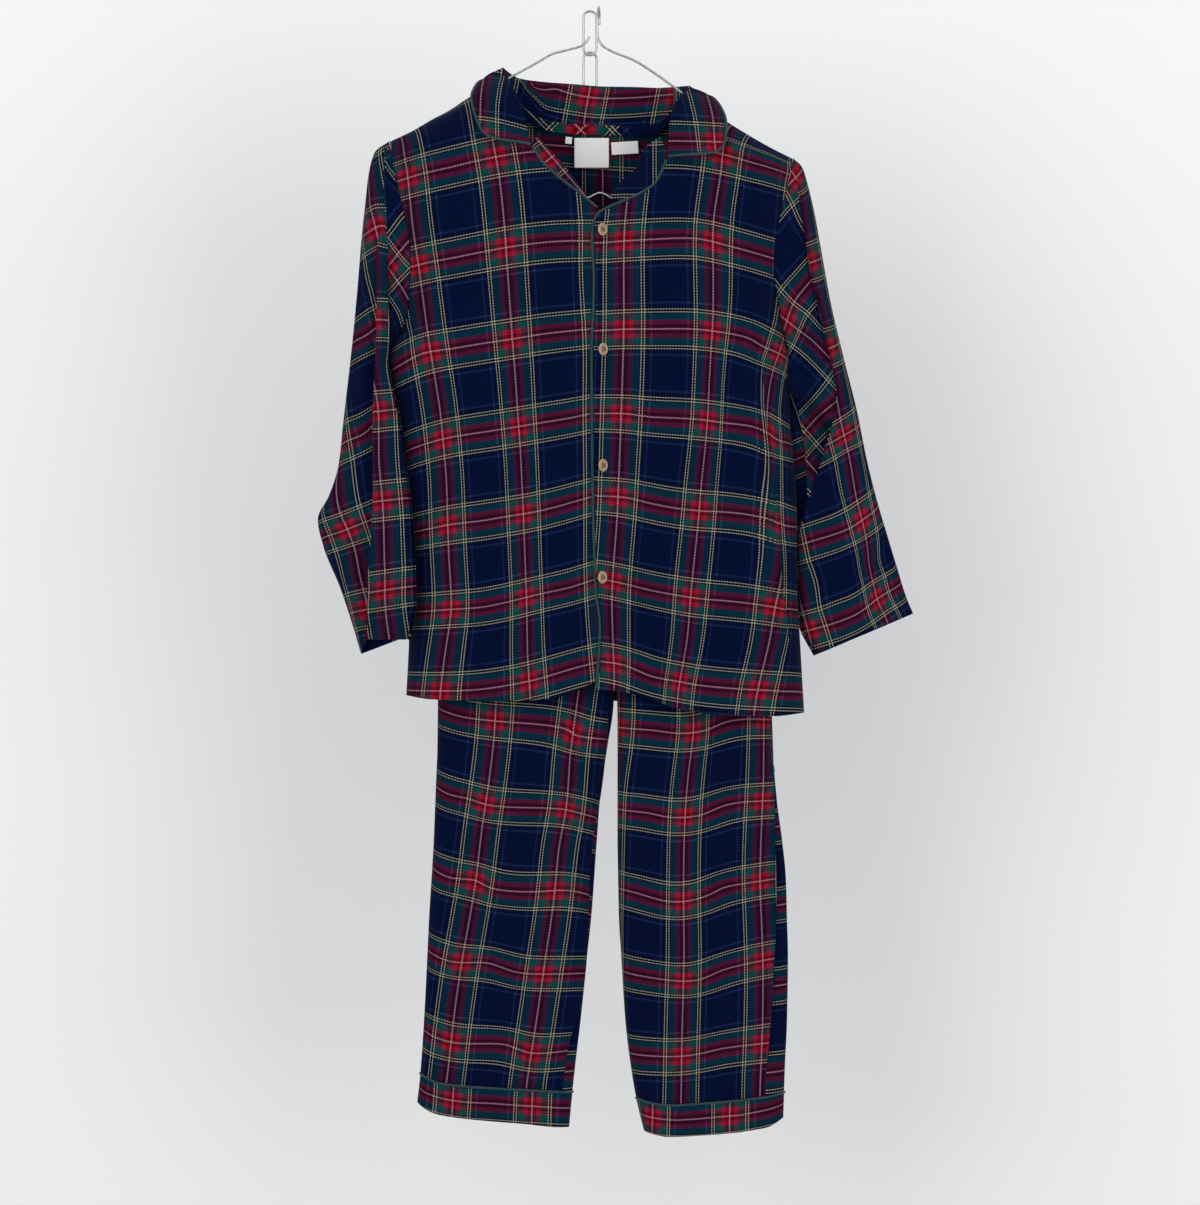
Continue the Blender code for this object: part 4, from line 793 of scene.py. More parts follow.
LEFT_INNER_WARP = [
    (1.8, [(-210.1, -139.1), (-206.2, -147.8), (-201.4, -156.1), (-194.8, -165.3)]),
    (1.2, [(-200.4, -225.1), (-192.8, -236), (-185, -245.8), (-178.2, -252.5)]),
    (1, [(-198.5, -254.4), (-190.8, -266), (-181.1, -282.5)]),
    (0.8, [(-196.6, -284.5), (-190.8, -294.2), (-185.9, -310.6)]),
]
LEFT_INNER_WEFT = [
    (-0.8, [(-213.1, -141.5), (-205.3, -136.1), (-200.4, -134.2)]),
    (-0.2, [(-199.5, -217.5), (-192.8, -208), (-185, -198.3)]),
    (0, [(-197, -244.7), (-189.8, -235), (-180.1, -223.9)]),
    (0.2, [(-194.8, -267.9), (-189, -261.2), (-182, -254.4)]),
]

# %% [markdown]
# On the right sleeve the inner part reaches further down, to the crease at the elbow.

# %% Check on the right sleeve
RIGHT_OUTER_WARP = [
    (0, [(189.8, -194.2), (192.8, -216.4), (198.1, -247.5), (203.3, -273.6), (210.1, -300.8),
        (215.5, -328.9), (223.7, -368.6), (231.5, -407.5), (244.1, -470.2), (254.6, -515.9),
        (258.3, -544.5), (263.7, -565.4), (271.9, -582.7), (275.1, -590.9)]),
    (-0.2, [(223.2, -431.3), (233.7, -480.7), (245.6, -528.2), (249.7, -549.1), (252.8, -564.6),
        (260.1, -588.2), (264.7, -597.3)]),
    (0.2, [(265.5, -528.2), (270.1, -540.9), (274.6, -558.2), (280.1, -570.9), (286.4, -583.7)]),
    (-0.8, [(199.2, -530.1), (205.6, -549.1), (209.2, -573.6), (214.7, -590.9), (221.9, -614.6)]),
    (-1, [(193.8, -579.1), (198.3, -595.5), (204.2, -618.2)]),
]
RIGHT_OUTER_WEFT = [
    (0, [(185.9, -164.3), (191.7, -157.7)]),
    (0.2, [(190.3, -179.5), (197.6, -173.3)]),
    (0.8, [(193.7, -229.5), (208.2, -222.3)]),
    (1, [(198.1, -246.5), (211.1, -240.2)]),
    (1.2, [(199.5, -264.4), (214, -257.6)]),
    (1.8, [(211.1, -310.5), (223.7, -305.6)]),
    (2, [(215.5, -328.4), (227, -322.1)]),
    (2.2, [(219.8, -344.8), (231.5, -338.6)]),
    (2.8, [(221.8, -398.7), (242.6, -384.2)]),
    (3, [(225.1, -413.7), (246, -400.6)]),
    (3.2, [(236.4, -422.9), (249.8, -416.1)]),
    (4, [(198.5, -511.1), (237.2, -498.2), (265.1, -475.9)]),
    (4.8, [(192.8, -579.1), (209.2, -574.6), (225.5, -568.1), (241.9, -561.8), (260.1, -549.1),
        (281.5, -535.5)]),
    (5, [(196.5, -595.9), (214.7, -590.9), (231, -585.5), (245.6, -579.1), (263.7, -565.4),
        (286.9, -550)]),
    (5.2, [(201, -612.3), (218.3, -606.9), (234.6, -601), (248.2, -594.6), (270.1, -580),
        (291.9, -564.6)]),
]
RIGHT_INNER_WARP = [
    (0, [(186.7, -164.5), (190.3, -170)]),
    (-0.2, [(176.2, -177.7), (183.1, -191.2), (187.9, -202.9)]),
    (-0.8, [(166.1, -263.9), (184, -284.3), (197.6, -294), (209.2, -306.6)]),
    (-1, [(170.9, -295), (187.9, -309.5), (200.4, -318.2), (217, -334.7)]),
    (-1.2, [(171.4, -316.3), (184, -325.8), (200.4, -339.5), (222.8, -362.9)]),
]
RIGHT_INNER_WEFT = [
    (0, [(178.2, -172.9), (185.9, -164.3), (191.7, -157.7)]),
    (0.2, [(168.9, -207.1), (181.1, -192.2), (188.9, -185.4)]),
    (0.8, [(169.5, -274.6), (184, -257.2), (194.2, -245.5)]),
    (1, [(173.8, -313.4), (177.7, -300.8), (185, -282.3), (198.5, -265)]),
    (1.2, [(180.1, -329.8), (189.3, -310.5), (197.6, -293), (203.9, -286.2)]),
    (1.8, [(199.5, -378.3), (211.1, -364.8), (220.8, -351.2)]),
    (2, [(210.1, -389), (223.7, -378.3)]),
]


# %% Outer edge laid flat
SLEEVE_ROUND = 14.0        # edge turning of a sleeve


def outer_edge(table):
    """Reader of x along the outer edge of a sleeve."""
    outline = [(row[2], row[0]) for row in table]
    return lambda z: curve(outline, z)


def flat_sleeve(edge_of, sign):
    """Place on a sleeve once its outer edge is laid flat."""
    def flat(x, z):
        return x + sign * SLEEVE_ROUND * unrolled(sign * (edge_of(z) - x) / SLEEVE_ROUND), z
    return flat

# %% [markdown]
# The rings of a sleeve run from the armhole to the wrist. On the front, columns are pinned to the
# fold lines, and the part beyond each fold lies a few millimetres in front or behind.

# %% Sleeve grid
ARMHOLE_STEP = 0.5         # a sleeve starts this far outside the armhole edge


def sleeve_rings(table, side_table, rows, right, counts, lines, shifts, back_cols, open_by):
    """Rings from the armhole to the wrist; each starts at the outer line and runs by the front."""
    sign = 1 if right else -1
    stations = np.linspace(0, len(table) - 1, rows)
    cells = through(table, stations)
    test = np.linspace(0.0, 1.0, 240)

    def place(station, cell, part):
        """x and z round a ring: the armhole's own line at first, the sleeve's further down."""
        ox, _, oz, ix, _, iz = cell[:6]
        z0 = table[0][2] + (table[0][5] - table[0][2]) * part
        x0 = curve(side_table, z0) + ARMHOLE_STEP * sign
        x1 = x0 + (ox - table[0][0]) * (1 - part) + (ix - table[0][3]) * part
        z1 = z0 + (oz - table[0][2]) * (1 - part) + (iz - table[0][5]) * part
        join = ramp(station / 4.0)
        return (x1 * (1 - join) + (ox + (ix - ox) * part) * join,
                z1 * (1 - join) + (oz + (iz - oz) * part) * join, x0, z0)

    pins = []
    for station, cell in zip(stations, cells):
        x, z, _, _ = place(station, cell, test)
        row, least = [0.0], 0.02
        for k, line in enumerate(lines):
            over = sign * (curve(line, z) - x) > 0
            over[test < least] = False
            share = test[np.argmax(over)] if over.any() else 1.0
            share = float(np.clip(share, least, 0.97 - 0.02 * (len(lines) - 1 - k)))
            row.append(share)
            least = share + 0.012
        pins.append(row + [1.0])
    pins = np.array(pins)
    for k in range(1, len(lines) + 1):
        padded = np.pad(pins[:, k], 2, mode="edge")
        pins[:, k] = np.convolve(padded, [0.1, 0.2, 0.4, 0.2, 0.1], mode="valid")
    span, share = spans(counts, first=True, last=True)
    grid = []
    for station, cell, pin in zip(stations, cells, pins):
        ox, oy, oz, ix, iy, iz, front, rear, fold = cell
        ahead = across_at([np.full(len(share), p) for p in pin], span, share)
        ahead = np.where((span > 0) & (share == 0), pin[span] + 0.002, ahead)
        behind = (1 + np.cos(np.pi * np.arange(1, back_cols) / back_cols)) / 2
        part = np.concatenate([ahead, behind])
        is_front = np.arange(len(part)) < len(ahead)
        rise = 2 * np.sqrt(np.clip(part * (1 - part), 0.0, 1.0))
        deep = np.where(is_front, -front, rear) * rise ** 0.8
        move = np.zeros(len(part))
        join = ramp(station / 4.0)
        for k, (step, ridge, wide) in enumerate(shifts):
            own = is_front & (np.concatenate([span, 0 * behind]) == k)
            edge = pin[min(k + 1, len(lines))] if k < len(lines) else pin[k]
            shape = step + ridge * fold * np.exp(-((part - edge) / wide) ** 2)
            move += own * shape * np.minimum(1.0, rise * 2.0) * min(1.0, 2.0 * join)
        x, z, x0, z0 = place(station, cell, part)
        y = oy + (iy - oy) * part + deep + move + (0.8 + rise) * 0.8 * ripple(x, z, 5 + right)
        y0 = np.where(is_front, -body_depth(x0, z0, 1), body_depth(x0, z0, 2)) + iy * part
        lift = (open_by * ramp((station - len(table) + 2.4) / 1.4) * is_front
                * np.minimum(1.0, part / 0.12) * (1.0 - 1.25 * part))
        grid.append(np.stack([x, y0 * (1 - join) + y * join, z + lift], 1))
    return np.array(grid), np.concatenate([span, np.full(len(behind), len(counts))])

# %% [markdown]
# The flap on the front of the left sleeve carries a part of its own.

# %% Cut the left sleeve
def behind_map(read, edge_of, x, z):
    """Check on the back of a tube: s mirrored about the outer fold, t unchanged."""
    front = read(x, z)
    fold = read(edge_of(z), z)
    return np.stack([2 * fold[..., 0] - front[..., 0], front[..., 1]], -1)


edge_of = outer_edge(SLEEVE_LEFT)
flat_left = flat_sleeve(edge_of, -1)
read_outer = lattice(LEFT_OUTER_WARP, LEFT_OUTER_WEFT, flat_left, 20.0)
read_flap = lattice(LEFT_FLAP_WARP, LEFT_FLAP_WEFT, flat_left, 20.0)
read_inner = lattice(LEFT_INNER_WARP, LEFT_INNER_WEFT, flat_left, 20.0)
grid, span = sleeve_rings(SLEEVE_LEFT, SIDE_LEFT, 120, False, [26, 18, 20], [FLAP_FROM, FLAP_TO],
                          [(3.0, 6.0, 0.12), (-3.2, -1.5, 0.12), (7.0, 3.0, 0.1)], 40, 13.5)
x, z = grid[..., 0], grid[..., 2]
low = (z < -392.0)[..., None]
maps = [read_outer(x, z), read_flap(x, z), np.where(low, read_flap(x, z), read_inner(x, z)),
        behind_map(read_outer, edge_of, x, z)]
sleeve_left = cloth("sleeve_left_cloth", grid, maps, span, wrap=True)
print("left sleeve:", len(sleeve_left.data.polygons), "faces")

# %% [markdown]
# The right sleeve is cut the same way, then hollowed below the elbow, where the cloth sinks back
# under a soft roll.

# %% Cut the right sleeve
edge_of = outer_edge(SLEEVE_RIGHT)
flat_right = flat_sleeve(edge_of, 1)
read_outer = lattice(RIGHT_OUTER_WARP, RIGHT_OUTER_WEFT, flat_right, 20.0)
read_inner = lattice(RIGHT_INNER_WARP, RIGHT_INNER_WEFT, flat_right, 20.0)
grid, span = sleeve_rings(SLEEVE_RIGHT, SIDE_RIGHT, 120, True, [28, 34, 8],
                          [FOLD_RIGHT, UNDER_RIGHT],
                          [(0.0, -4.0, 0.12), (1.5, -8.0, 0.10), (9.0, 0.0, 0.1)], 40, 0.0)
x, z = grid[..., 0], grid[..., 2]
below = (curve(ELBOW_ROLL, x) - z) * (span == 1) * (x < curve(FOLD_RIGHT, z) + 4.0)
hollow = 13.0 * ramp(below / 5.0) * (1 - ramp((below - 36.0) / 30.0))
roll = 4.0 * np.exp(-((below + 6.0) / 8.0) ** 2) * (below != 0)
grid[..., 1] += np.where(z < -350.0, hollow - roll, 0.0)
maps = [read_outer(x, z), read_inner(x, z), behind_map(read_outer, edge_of, x, z)]
maps.append(maps[2])
low = (x < curve(FOLD_RIGHT, z)) & (z > -520.0)
maps[1] = np.where(low[..., None], maps[1], maps[0])
sleeve_right = cloth("sleeve_right_cloth", grid, maps, span, wrap=True)
print("right sleeve:", len(sleeve_right.data.polygons), "faces")

# %% [markdown]
# ## Trousers
# The legs hang straight below the jacket. Each is a tube that opens inward above the crotch; the
# tables give its outer and inner edge and its depth, and the slanted seam and bottom of the cuff.

# %% Legs, cuffs and waistband
WAIST_TOP, WAIST_LOW = -282.0, -312.0
#                z       outer   inner   front  back
LEG_LEFT = [(-312.6, -138, 12, 5, 5), (-345, -146, 12, 8, 8),
            (-420, -150, 12, 11, 11), (-560, -153, 12, 13, 12),
            (-661, -154, 13, 14, 12), (-706, -154.5, 7, 15, 12),
            (-744, -156, 1, 15, 12), (-795, -158, -3, 15, 12),
            (-870, -162.5, -8.5, 14, 12), (-902, -164, -12, 14, 12),
            (-953, -166.5, -17, 14, 12), (-1019, -171, -24.7, 14, 12),
            (-1068, -177, -29.5, 14, 12)]
LEG_RIGHT = [(-312.6, 150, 12.6, 5, 5), (-345, 158, 12.6, 8, 8),
             (-420, 160, 12.6, 11, 11), (-560, 161, 12.6, 13, 12),
             (-680, 162.5, 16.6, 14, 12), (-756, 168, 16.6, 15, 12),
             (-794, 173, 16.6, 15, 12), (-832, 176.7, 17.2, 15, 12),
             (-870, 177.7, 18, 14, 12), (-902, 178.6, 20, 14, 12),
             (-965, 177.7, 24, 14, 12), (-1014, 175.5, 30, 14, 12),
             (-1047, 174.5, 36, 14, 12), (-1075, 173.5, 43, 14, 12)]
# Seam above the cuff and bottom of the cuff, across the leg.
#               x       seam      bottom
CUFF_LEFT = [(-174, -1013.5, -1042.5), (-166, -1018, -1048.5), (-152.5, -1024, -1054),
             (-105.5, -1028.5, -1060), (-68, -1030.5, -1063), (-47, -1031.7, -1065.5),
             (-27, -1033, -1066.5)]
CUFF_RIGHT = [(35, -1039, -1068), (46, -1042, -1071.5), (64.6, -1045, -1075),
              (105.5, -1042.5, -1073), (140.6, -1039.5, -1069.5), (158, -1037, -1066),
              (174, -1033.5, -1057.5)]

# Elastic waistband from its top edge to the seam.
#               z         half width  half depth
WAISTBAND = [(WAIST_TOP, 141, 4.2), (-290, 142.2, 4.6), (-300, 142.8, 4.8),
             (WAIST_LOW, 144, 5.2)]
WAIST_MIDDLE = 6.0
print("legs:", LEG_LEFT[0][0] - LEG_LEFT[-1][0], "mm long")

# %% [markdown]
# Each leg carries two lines down its front. Where the layer behind looks out beside the front
# one, it shows a different part of the check.

# %% Check on the legs
#                 z        x   edge of the front layer where the layer behind looks out beside it
LEG_LINE = {-1: [(-560, 4), (-678, 8.1), (-715, 5.3), (-757, 0), (-775, -3.8),
                 (-831, -9.5), (-882, -11), (-951, -17.6), (-975, -26),
                 (-996, -31), (-1032, -35.6), (-1068, -38)],
            1: [(-560, 157), (-678, 163.4), (-737, 165.3), (-814, 166.7),
                (-851, 167.2), (-950, 163), (-1027, 156.8), (-1075, 155)]}
STRIP_SHIFT = {-1: (0.0, 0.24), 1: (-0.32, 0.34)}   # the strip's check lies this far aside and lower
LEFT_LEG_WARP = [
    (0, [(-98.8, -664), (-100.7, -697.3), (-106.4, -744.8), (-111.1, -776.1), (-117.8, -831.2),
        (-123.5, -866.4), (-141.5, -986.1), (-145.3, -1019.3)]),
    (1, [(-28.5, -715.4), (-32.3, -764.8), (-38.9, -800.8), (-42.8, -840.8), (-51.3, -902.5),
        (-69.3, -1024.1)]),
]
LEFT_LEG_WEFT = [
    (0, [(-150.1, -671), (-132, -677.1), (-113, -679.9), (-84, -682.4), (-45.6, -685.9), (-29.4, -689.7),
        (-25.3, -694.1), (5.3, -698.6)]),
    (1, [(-153.2, -745.8), (-142.5, -751.4), (-125.4, -755), (-108.3, -760.6), (-67.9, -763.4),
        (-32.6, -765.4), (-2.8, -774.1)]),
    (2, [(-157.9, -822.3), (-142.5, -830.3), (-117.8, -832.7), (-105.4, -839.4), (-59.8, -843.2),
        (-25.3, -842.6), (-10.4, -846.9)]),
    (3, [(-163.4, -899.6), (-141.5, -910.1), (-106.4, -911), (-80.8, -919.6), (-17.1, -921.5)]),
    (4, [(-167.2, -975.6), (-144.4, -986.1), (-88.3, -988.9), (-67.5, -996.5), (-29.4, -994.6)]),
]
RIGHT_LEG_WARP = [
    (-0.8, [(32.1, -671.6), (30.1, -703.9), (24.1, -748.6), (22.8, -780.9), (21.8, -824.6)]),
    (0, [(88.7, -672.6), (88.7, -691.6), (84.5, -726.8), (80.8, -771.4), (79.4, -836), (79.8, -902.5),
        (77, -1039.3)]),
    (1, [(155.8, -679.7), (155.4, -731.5), (153.9, -771.4), (152, -833.1), (154.8, -946.2),
        (152, -1034.5)]),
]
RIGHT_LEG_WEFT = [
    (0, [(18.1, -687.4), (54.1, -690.4), (68.4, -692.5), (88.3, -692.4), (102.1, -689.7), (117.8, -682.7),
        (143.4, -679.2), (162.1, -680.2)]),
    (1, [(16.7, -765), (48.4, -769), (61.8, -772), (80.8, -772.7), (96.9, -770.4), (117.8, -761.7),
        (136.8, -758.1), (163.4, -757.1)]),
    (2, [(18.7, -840.8), (31.3, -843.6), (61.8, -852.1), (79.4, -852.7), (104.5, -846.4), (117.8, -839.4),
        (134.9, -836), (165.3, -831.6)]),
    (3, [(20.9, -918.6), (64.6, -927.2), (95, -927.2), (114.9, -918.6), (165.3, -907.2)]),
    (4, [(24.7, -996.5), (95, -997.5), (114.9, -992.8), (161.5, -987)]),
]
print("lines down the legs:", len(LEFT_LEG_WARP) + len(RIGHT_LEG_WARP))

# %% [markdown]
# The cuffs are cut from other places on the cloth, so their lines don't meet those of the legs.

# %% Check on the cuffs
#                              line, then x and z
LEFT_CUFF_WARP = [
    (0, [(-139.1, -1030), (-141, -1058)]),
    (1, [(-63.9, -1030), (-65, -1062)]),
]
LEFT_CUFF_WEFT = [
    (-0.2, [(-174, -1013.5), (-152.5, -1024), (-105.5, -1028.5), (-68, -1030.5), (-27, -1033)]),
    (0, [(-174, -1028), (-152.5, -1039), (-105.5, -1044.3), (-68, -1046.8), (-27, -1049.8)]),
]
RIGHT_CUFF_WARP = [
    (0, [(50, -1046), (49.5, -1072)]),
    (1, [(123.2, -1042), (122.8, -1068)]),
]
RIGHT_CUFF_WEFT = [
    (-0.2, [(35, -1038), (64.6, -1044), (105.5, -1041.5), (140.6, -1038.5), (174, -1031)]),
    (0, [(35, -1053.5), (64.6, -1060), (105.5, -1057.8), (140.6, -1054.5), (174, -1045.5)]),
]

# %% [markdown]
# A leg is nearly flat as it hangs: it turns at its outer fold and at the inseam, and opens inward
# above the crotch, where the two legs are joined.

# %% Depth of a leg
LEG_ROUND = 16.0           # edge turning of a hanging leg
LEG_GAP = 0.2              # half the space between the two layers at a leg's fold
CROTCH_Z = -560.0


def leg_depth(table, x, z, column, sign):
    """Depth of a leg's front (column 3) or back (column 4), open inward above the crotch."""
    deep = curve(table, z, column)
    gape = ramp((z - CROTCH_Z) / 40.0 + 0.5)
    turn_outer = turn_in(sign * (curve(table, z, 1) - x) / LEG_ROUND)
    turn_inner = gape + (1 - gape) * turn_in(sign * (x - curve(table, z, 2)) / LEG_ROUND)
    if column == 3:
        deep = deep + folds(LEG_FOLDS[sign], x, z) + 0.8 * ripple(x, z, 11 + sign)
    else:
        deep = deep + 0.8 * ripple(x, z, 21 + sign)
    return deep * turn_outer * turn_inner

# %% [markdown]
# A ring can't simply be sliced level: the slanted cuff seam must be its last one. So each ring
# lies a share of the way from the waist to that seam, found by a few rounds of trying. It starts
# at the inseam, crosses the front to the outer fold and comes back behind. The columns of the
# strip that shows beside the front layer lie a step further back.

# %% Leg grid
def leg_rings(table, sign, rows, top_z, low_z, strip, counts, back_cols, closed):
    """Rings round a leg and the region of each column: 0 and 1 in front, 2 behind."""
    span, share = spans(counts, first=True, last=True)
    stops = [lambda z: curve(table, z, 2), lambda z: curve(LEG_LINE[sign], z),
             lambda z: curve(table, z, 1)]
    rear = (1 - np.cos(np.pi * np.linspace(0, 1, back_cols + 1))) / 2
    rear = (rear[-2:0:-1] if closed else rear[-2::-1])
    grid = []
    for part in np.linspace(0.0, 1.0, rows):
        ring = []
        for front in (True, False):
            if front:
                x_at = lambda z: across_at([stop(z) for stop in stops], span, share)
                z = np.full(len(share), -800.0)
            else:
                x_at = lambda z: stops[0](z) + (stops[2](z) - stops[0](z)) * rear
                z = np.full(len(rear), -800.0)
            for _ in range(8):
                z = top_z(x_at(z)) * (1 - part) + low_z(x_at(z)) * part
            x = x_at(z)
            deep = leg_depth(table, x, z, 3 if front else 4, sign) + LEG_GAP
            if front:
                shown = ramp((-640.0 - z) / 40.0) * (1 - ramp((-990.0 - z) / 30.0))
                edge = np.minimum(1.0, np.abs(x - stops[2 if strip == 1 else 0](z)) / 2.0)
                deep = deep - 0.34 * deep * shown * edge * (span == strip)
            ring.append(np.stack([x, (-1 if front else 1) * deep, z], 1))
        grid.append(np.concatenate(ring))
    return np.array(grid), np.concatenate([span, np.full(len(rear), 2)])


def flat_leg(table):
    def flat(x, z):
        low = np.minimum(curve(table, z, 1), curve(table, z, 2))
        high = np.maximum(curve(table, z, 1), curve(table, z, 2))
        u = x - 0.8 * LEG_ROUND * unrolled((x - low) / LEG_ROUND)
        return u + 0.8 * LEG_ROUND * unrolled((high - x) / LEG_ROUND), z
    return flat

# %% [markdown]
# Legs and cuffs are cut here. The cuff is a separate band, turned up once, joined to the leg by
# the piping.

# %% Cut legs and cuffs
def make_leg(side, table, cuff, sign, warp, weft, cuff_warp, cuff_weft):
    """Leg and cuff of one side, and the ring of places where the two meet."""
    waist = lambda x: np.full(np.shape(x), WAIST_LOW - SEAM)
    seam = lambda x: curve(cuff, x, 1)
    bottom = lambda x: curve(cuff, x, 2)
    strip = 0 if sign < 0 else 1
    counts = [8, 56] if sign < 0 else [56, 8]
    grid, region = leg_rings(table, sign, 135, waist, seam, strip, counts, 44, False)
    grid[-1, :, 2] += 0.2
    read = lattice(warp, weft, flat_leg(table), 15.0)
    outer = lambda z: curve(table, z, 1)
    x, z = grid[..., 0], grid[..., 2]
    front = read(x, z)
    shown = ramp((-640.0 - z) / 40.0)
    beside = front - shown[..., None] * STRIP_SHIFT[sign]
    pair = [beside, front] if strip == 0 else [front, beside]
    maps = pair + [behind_map(read, outer, x, z)]
    leg = cloth(f"trouser_leg_{side}", grid, maps, region)
    grid, region = leg_rings(table, sign, 14, seam, bottom, 5, [8, 48], 40, True)
    grid[0, :, 2] -= 0.2
    ring = grid[0].copy()
    read = lattice(cuff_warp, cuff_weft, flat_leg(table), 14.0)
    x, z = grid[..., 0], grid[..., 2]
    swell = 0.5 * np.sin(np.pi * np.linspace(0, 1, 14)) ** 0.5
    grid[..., 1] += np.sign(grid[..., 1]) * swell[:, None]
    maps = [read(x, z), read(x, z), behind_map(read, outer, x, z)]
    band = cloth(f"trouser_cuff_{side}", grid, maps, region, wrap=True)
    return leg, band, ring


leg_left, cuff_left, ring_left = make_leg(
    "left", LEG_LEFT, CUFF_LEFT, -1, LEFT_LEG_WARP, LEFT_LEG_WEFT, LEFT_CUFF_WARP, LEFT_CUFF_WEFT)
leg_right, cuff_right, ring_right = make_leg(
    "right", LEG_RIGHT, CUFF_RIGHT, 1, RIGHT_LEG_WARP, RIGHT_LEG_WEFT, RIGHT_CUFF_WARP,
    RIGHT_CUFF_WEFT)
print("legs:", len(leg_left.data.polygons), len(leg_right.data.polygons), "faces")

# %% [markdown]
# The waistband is folded over elastic, so it is gathered into many small pleats, pinched along
# the two rows of stitching.

# %% Waistband
PLEATS, FEW_PLEATS = 41, 23            # fine gathers round the waist, and slower ones among them
WAIST_COLUMNS = 180
angle = 2 * np.pi * np.arange(WAIST_COLUMNS) / WAIST_COLUMNS
side = -np.sign(np.sin(angle)) * np.abs(np.sin(angle)) ** 0.5
grid = []
for z in np.linspace(WAIST_LOW, WAIST_TOP, 20):
    pinch = 0.35 + 0.65 * np.abs(np.sin(np.pi * (z - WAIST_LOW) / 10.0))
    gathers = (0.7 * np.sin(angle * PLEATS) + 0.4 * np.sin(angle * FEW_PLEATS + 1.0)) * pinch
    x = WAIST_MIDDLE + curve(WAISTBAND, z, 1) * np.cos(angle)
    y = (curve(WAISTBAND, z, 2) + gathers) * side
    grid.append(np.stack([x, y, np.full(WAIST_COLUMNS, z)], 1))
grid = np.array(grid)
s = np.broadcast_to(np.abs(angle - np.pi) * 141.0 * 1.2 / SETT, grid.shape[:2])
waist_map = np.stack([s, (WAIST_TOP - grid[..., 2]) / SETT + 0.3], -1)
waistband = cloth("trouser_waistband", grid, [waist_map], wrap=True)
print("waistband:", len(waistband.data.polygons), "faces")

# %% [markdown]
# ## Collar
# The collar stands up from the neck seam, rolls over and lies down on the fronts. The table gives
# the seam, the roll and the leaf's edge at stations from one notch round the back to the other.

# %% Collar table
COLLAR = [
    # seam                     roll                       edge
    ((-67.5, -33.5, -133), (-65.5, -39, -135.5), (-101, -43, -131)),
    ((-71.5, -31, -127), (-67.5, -38, -128.5), (-109.5, -42, -124.5)),
    ((-76, -28, -117.5), (-69.5, -34, -116), (-115.5, -39, -112)),
    ((-86, -18.5, -99), (-74.5, -25, -98), (-120.5, -31, -92)),
    ((-94, -8, -82.5), (-83, -13, -79), (-117.5, -16, -80)),
    ((-97.5, 0.5, -72.5), (-91, 0, -60.5), (-109, 6, -70.5)),
    ((-87, 13, -90), (-76, 14, -69.5), (-92, 27, -88)),
    ((-60, 21.5, -112), (-53, 23, -72), (-60, 37, -107)),
    ((-30, 24.5, -117.5), (-26, 28, -73.5), (-30, 41, -114)),
    ((0, 25.5, -118.5), (0, 30, -75.5), (0, 42.5, -117)),
    ((35, 24.5, -120), (37, 27.5, -76.5), (40, 40.5, -118)),
    ((55, 20.5, -118), (58, 19, -78), (70, 33, -110)),
    ((79, 11.5, -96.5), (76, 10, -77.5), (90, 22, -93)),
    ((85.5, 0.5, -86.5), (84, 0.5, -78), (102, 6, -86)),
    ((81.5, -8, -95), (76, -11, -88), (112.5, -12, -97)),
    ((75, -18, -112), (68, -22, -104), (118, -30, -114)),
    ((69.5, -27, -128), (64.5, -31, -124), (117, -40, -131)),
    ((67.5, -31, -138), (64.2, -36, -138.5), (113.5, -42, -140)),
    ((66.5, -33, -144), (64, -38, -147), (107, -43, -145)),
]
print("collar:", len(COLLAR), "stations")

# %% [markdown]
# Between the stations the collar is read smoothly. Its stand leans off the neck seam, its roll is
# pushed out from the middle of the neck, and its leaf is kept just clear of the fronts.

# %% Shape of the collar
NECK_CENTRE = (-4.0, -4.0)
NECK_WIDE, NECK_DEEP = 85.0, 34.0             # half sizes of the neck's oval


def collar_lines(count):
    """Seam, roll and leaf edge read smoothly round the neck."""
    station = np.linspace(0, len(COLLAR) - 1, count)
    return [through([row[part] for row in COLLAR], station) for part in range(3)]


def over_front(points, lift):
    """Bring collar points that hang in front of or behind the body just clear of it."""
    x, y, z = points.T
    ahead = np.minimum(y, front_y(x, z) - lift)
    behind = np.maximum(y, back_y(x, z) + lift)
    return np.stack([x, np.where(y < -2.0, ahead, np.where(y > 2.0, behind, y)), z], 1)


def collar_columns(count):
    """Stand up from the neck seam, over the roll, and down the leaf to its edge."""
    seam, roll, edge = collar_lines(count)
    close = front_y(seam[:, 0], seam[:, 2]) + 0.6
    seam[:, 1] = np.where(seam[:, 1] < -2.0, close, seam[:, 1])
    roll = np.where(roll[:, 1:2] < -2.0, over_front(roll, 5.0), roll)
    out = np.stack([(roll[:, 0] - NECK_CENTRE[0]) / NECK_WIDE ** 2,
                    (roll[:, 1] - NECK_CENTRE[1]) / NECK_DEEP ** 2, np.zeros(count)], 1)
    out, rise = unit(out), unit(roll - seam)
    inward = np.sign(NECK_CENTRE[0] - seam[:, :1]) * (1.0, 0.0, 0.0)
    seam = np.where(seam[:, 1:2] < -25.0, seam + inward * 2.9, seam - out * 2.6 + rise * 1.2)
    columns = [seam, (seam + roll) / 2 - out * 0.4, roll - rise * 2.4 - out * 0.4,
               roll + out * 1.4 + rise * 0.4, roll + out * 4.2 - rise * 1.6]
    start = columns[-1]
    for share, bulge in ((0.33, 2.4), (0.66, 2.2), (1.0, 0.0)):
        columns.append(over_front(start + (edge - start) * share + out * bulge, 3.6))
    return np.stack(columns, axis=1)


def finer(grid, cols):
    """More columns through the same places."""
    at = np.linspace(0, grid.shape[1] - 1, cols)
    return np.array([through(row, at) for row in grid])

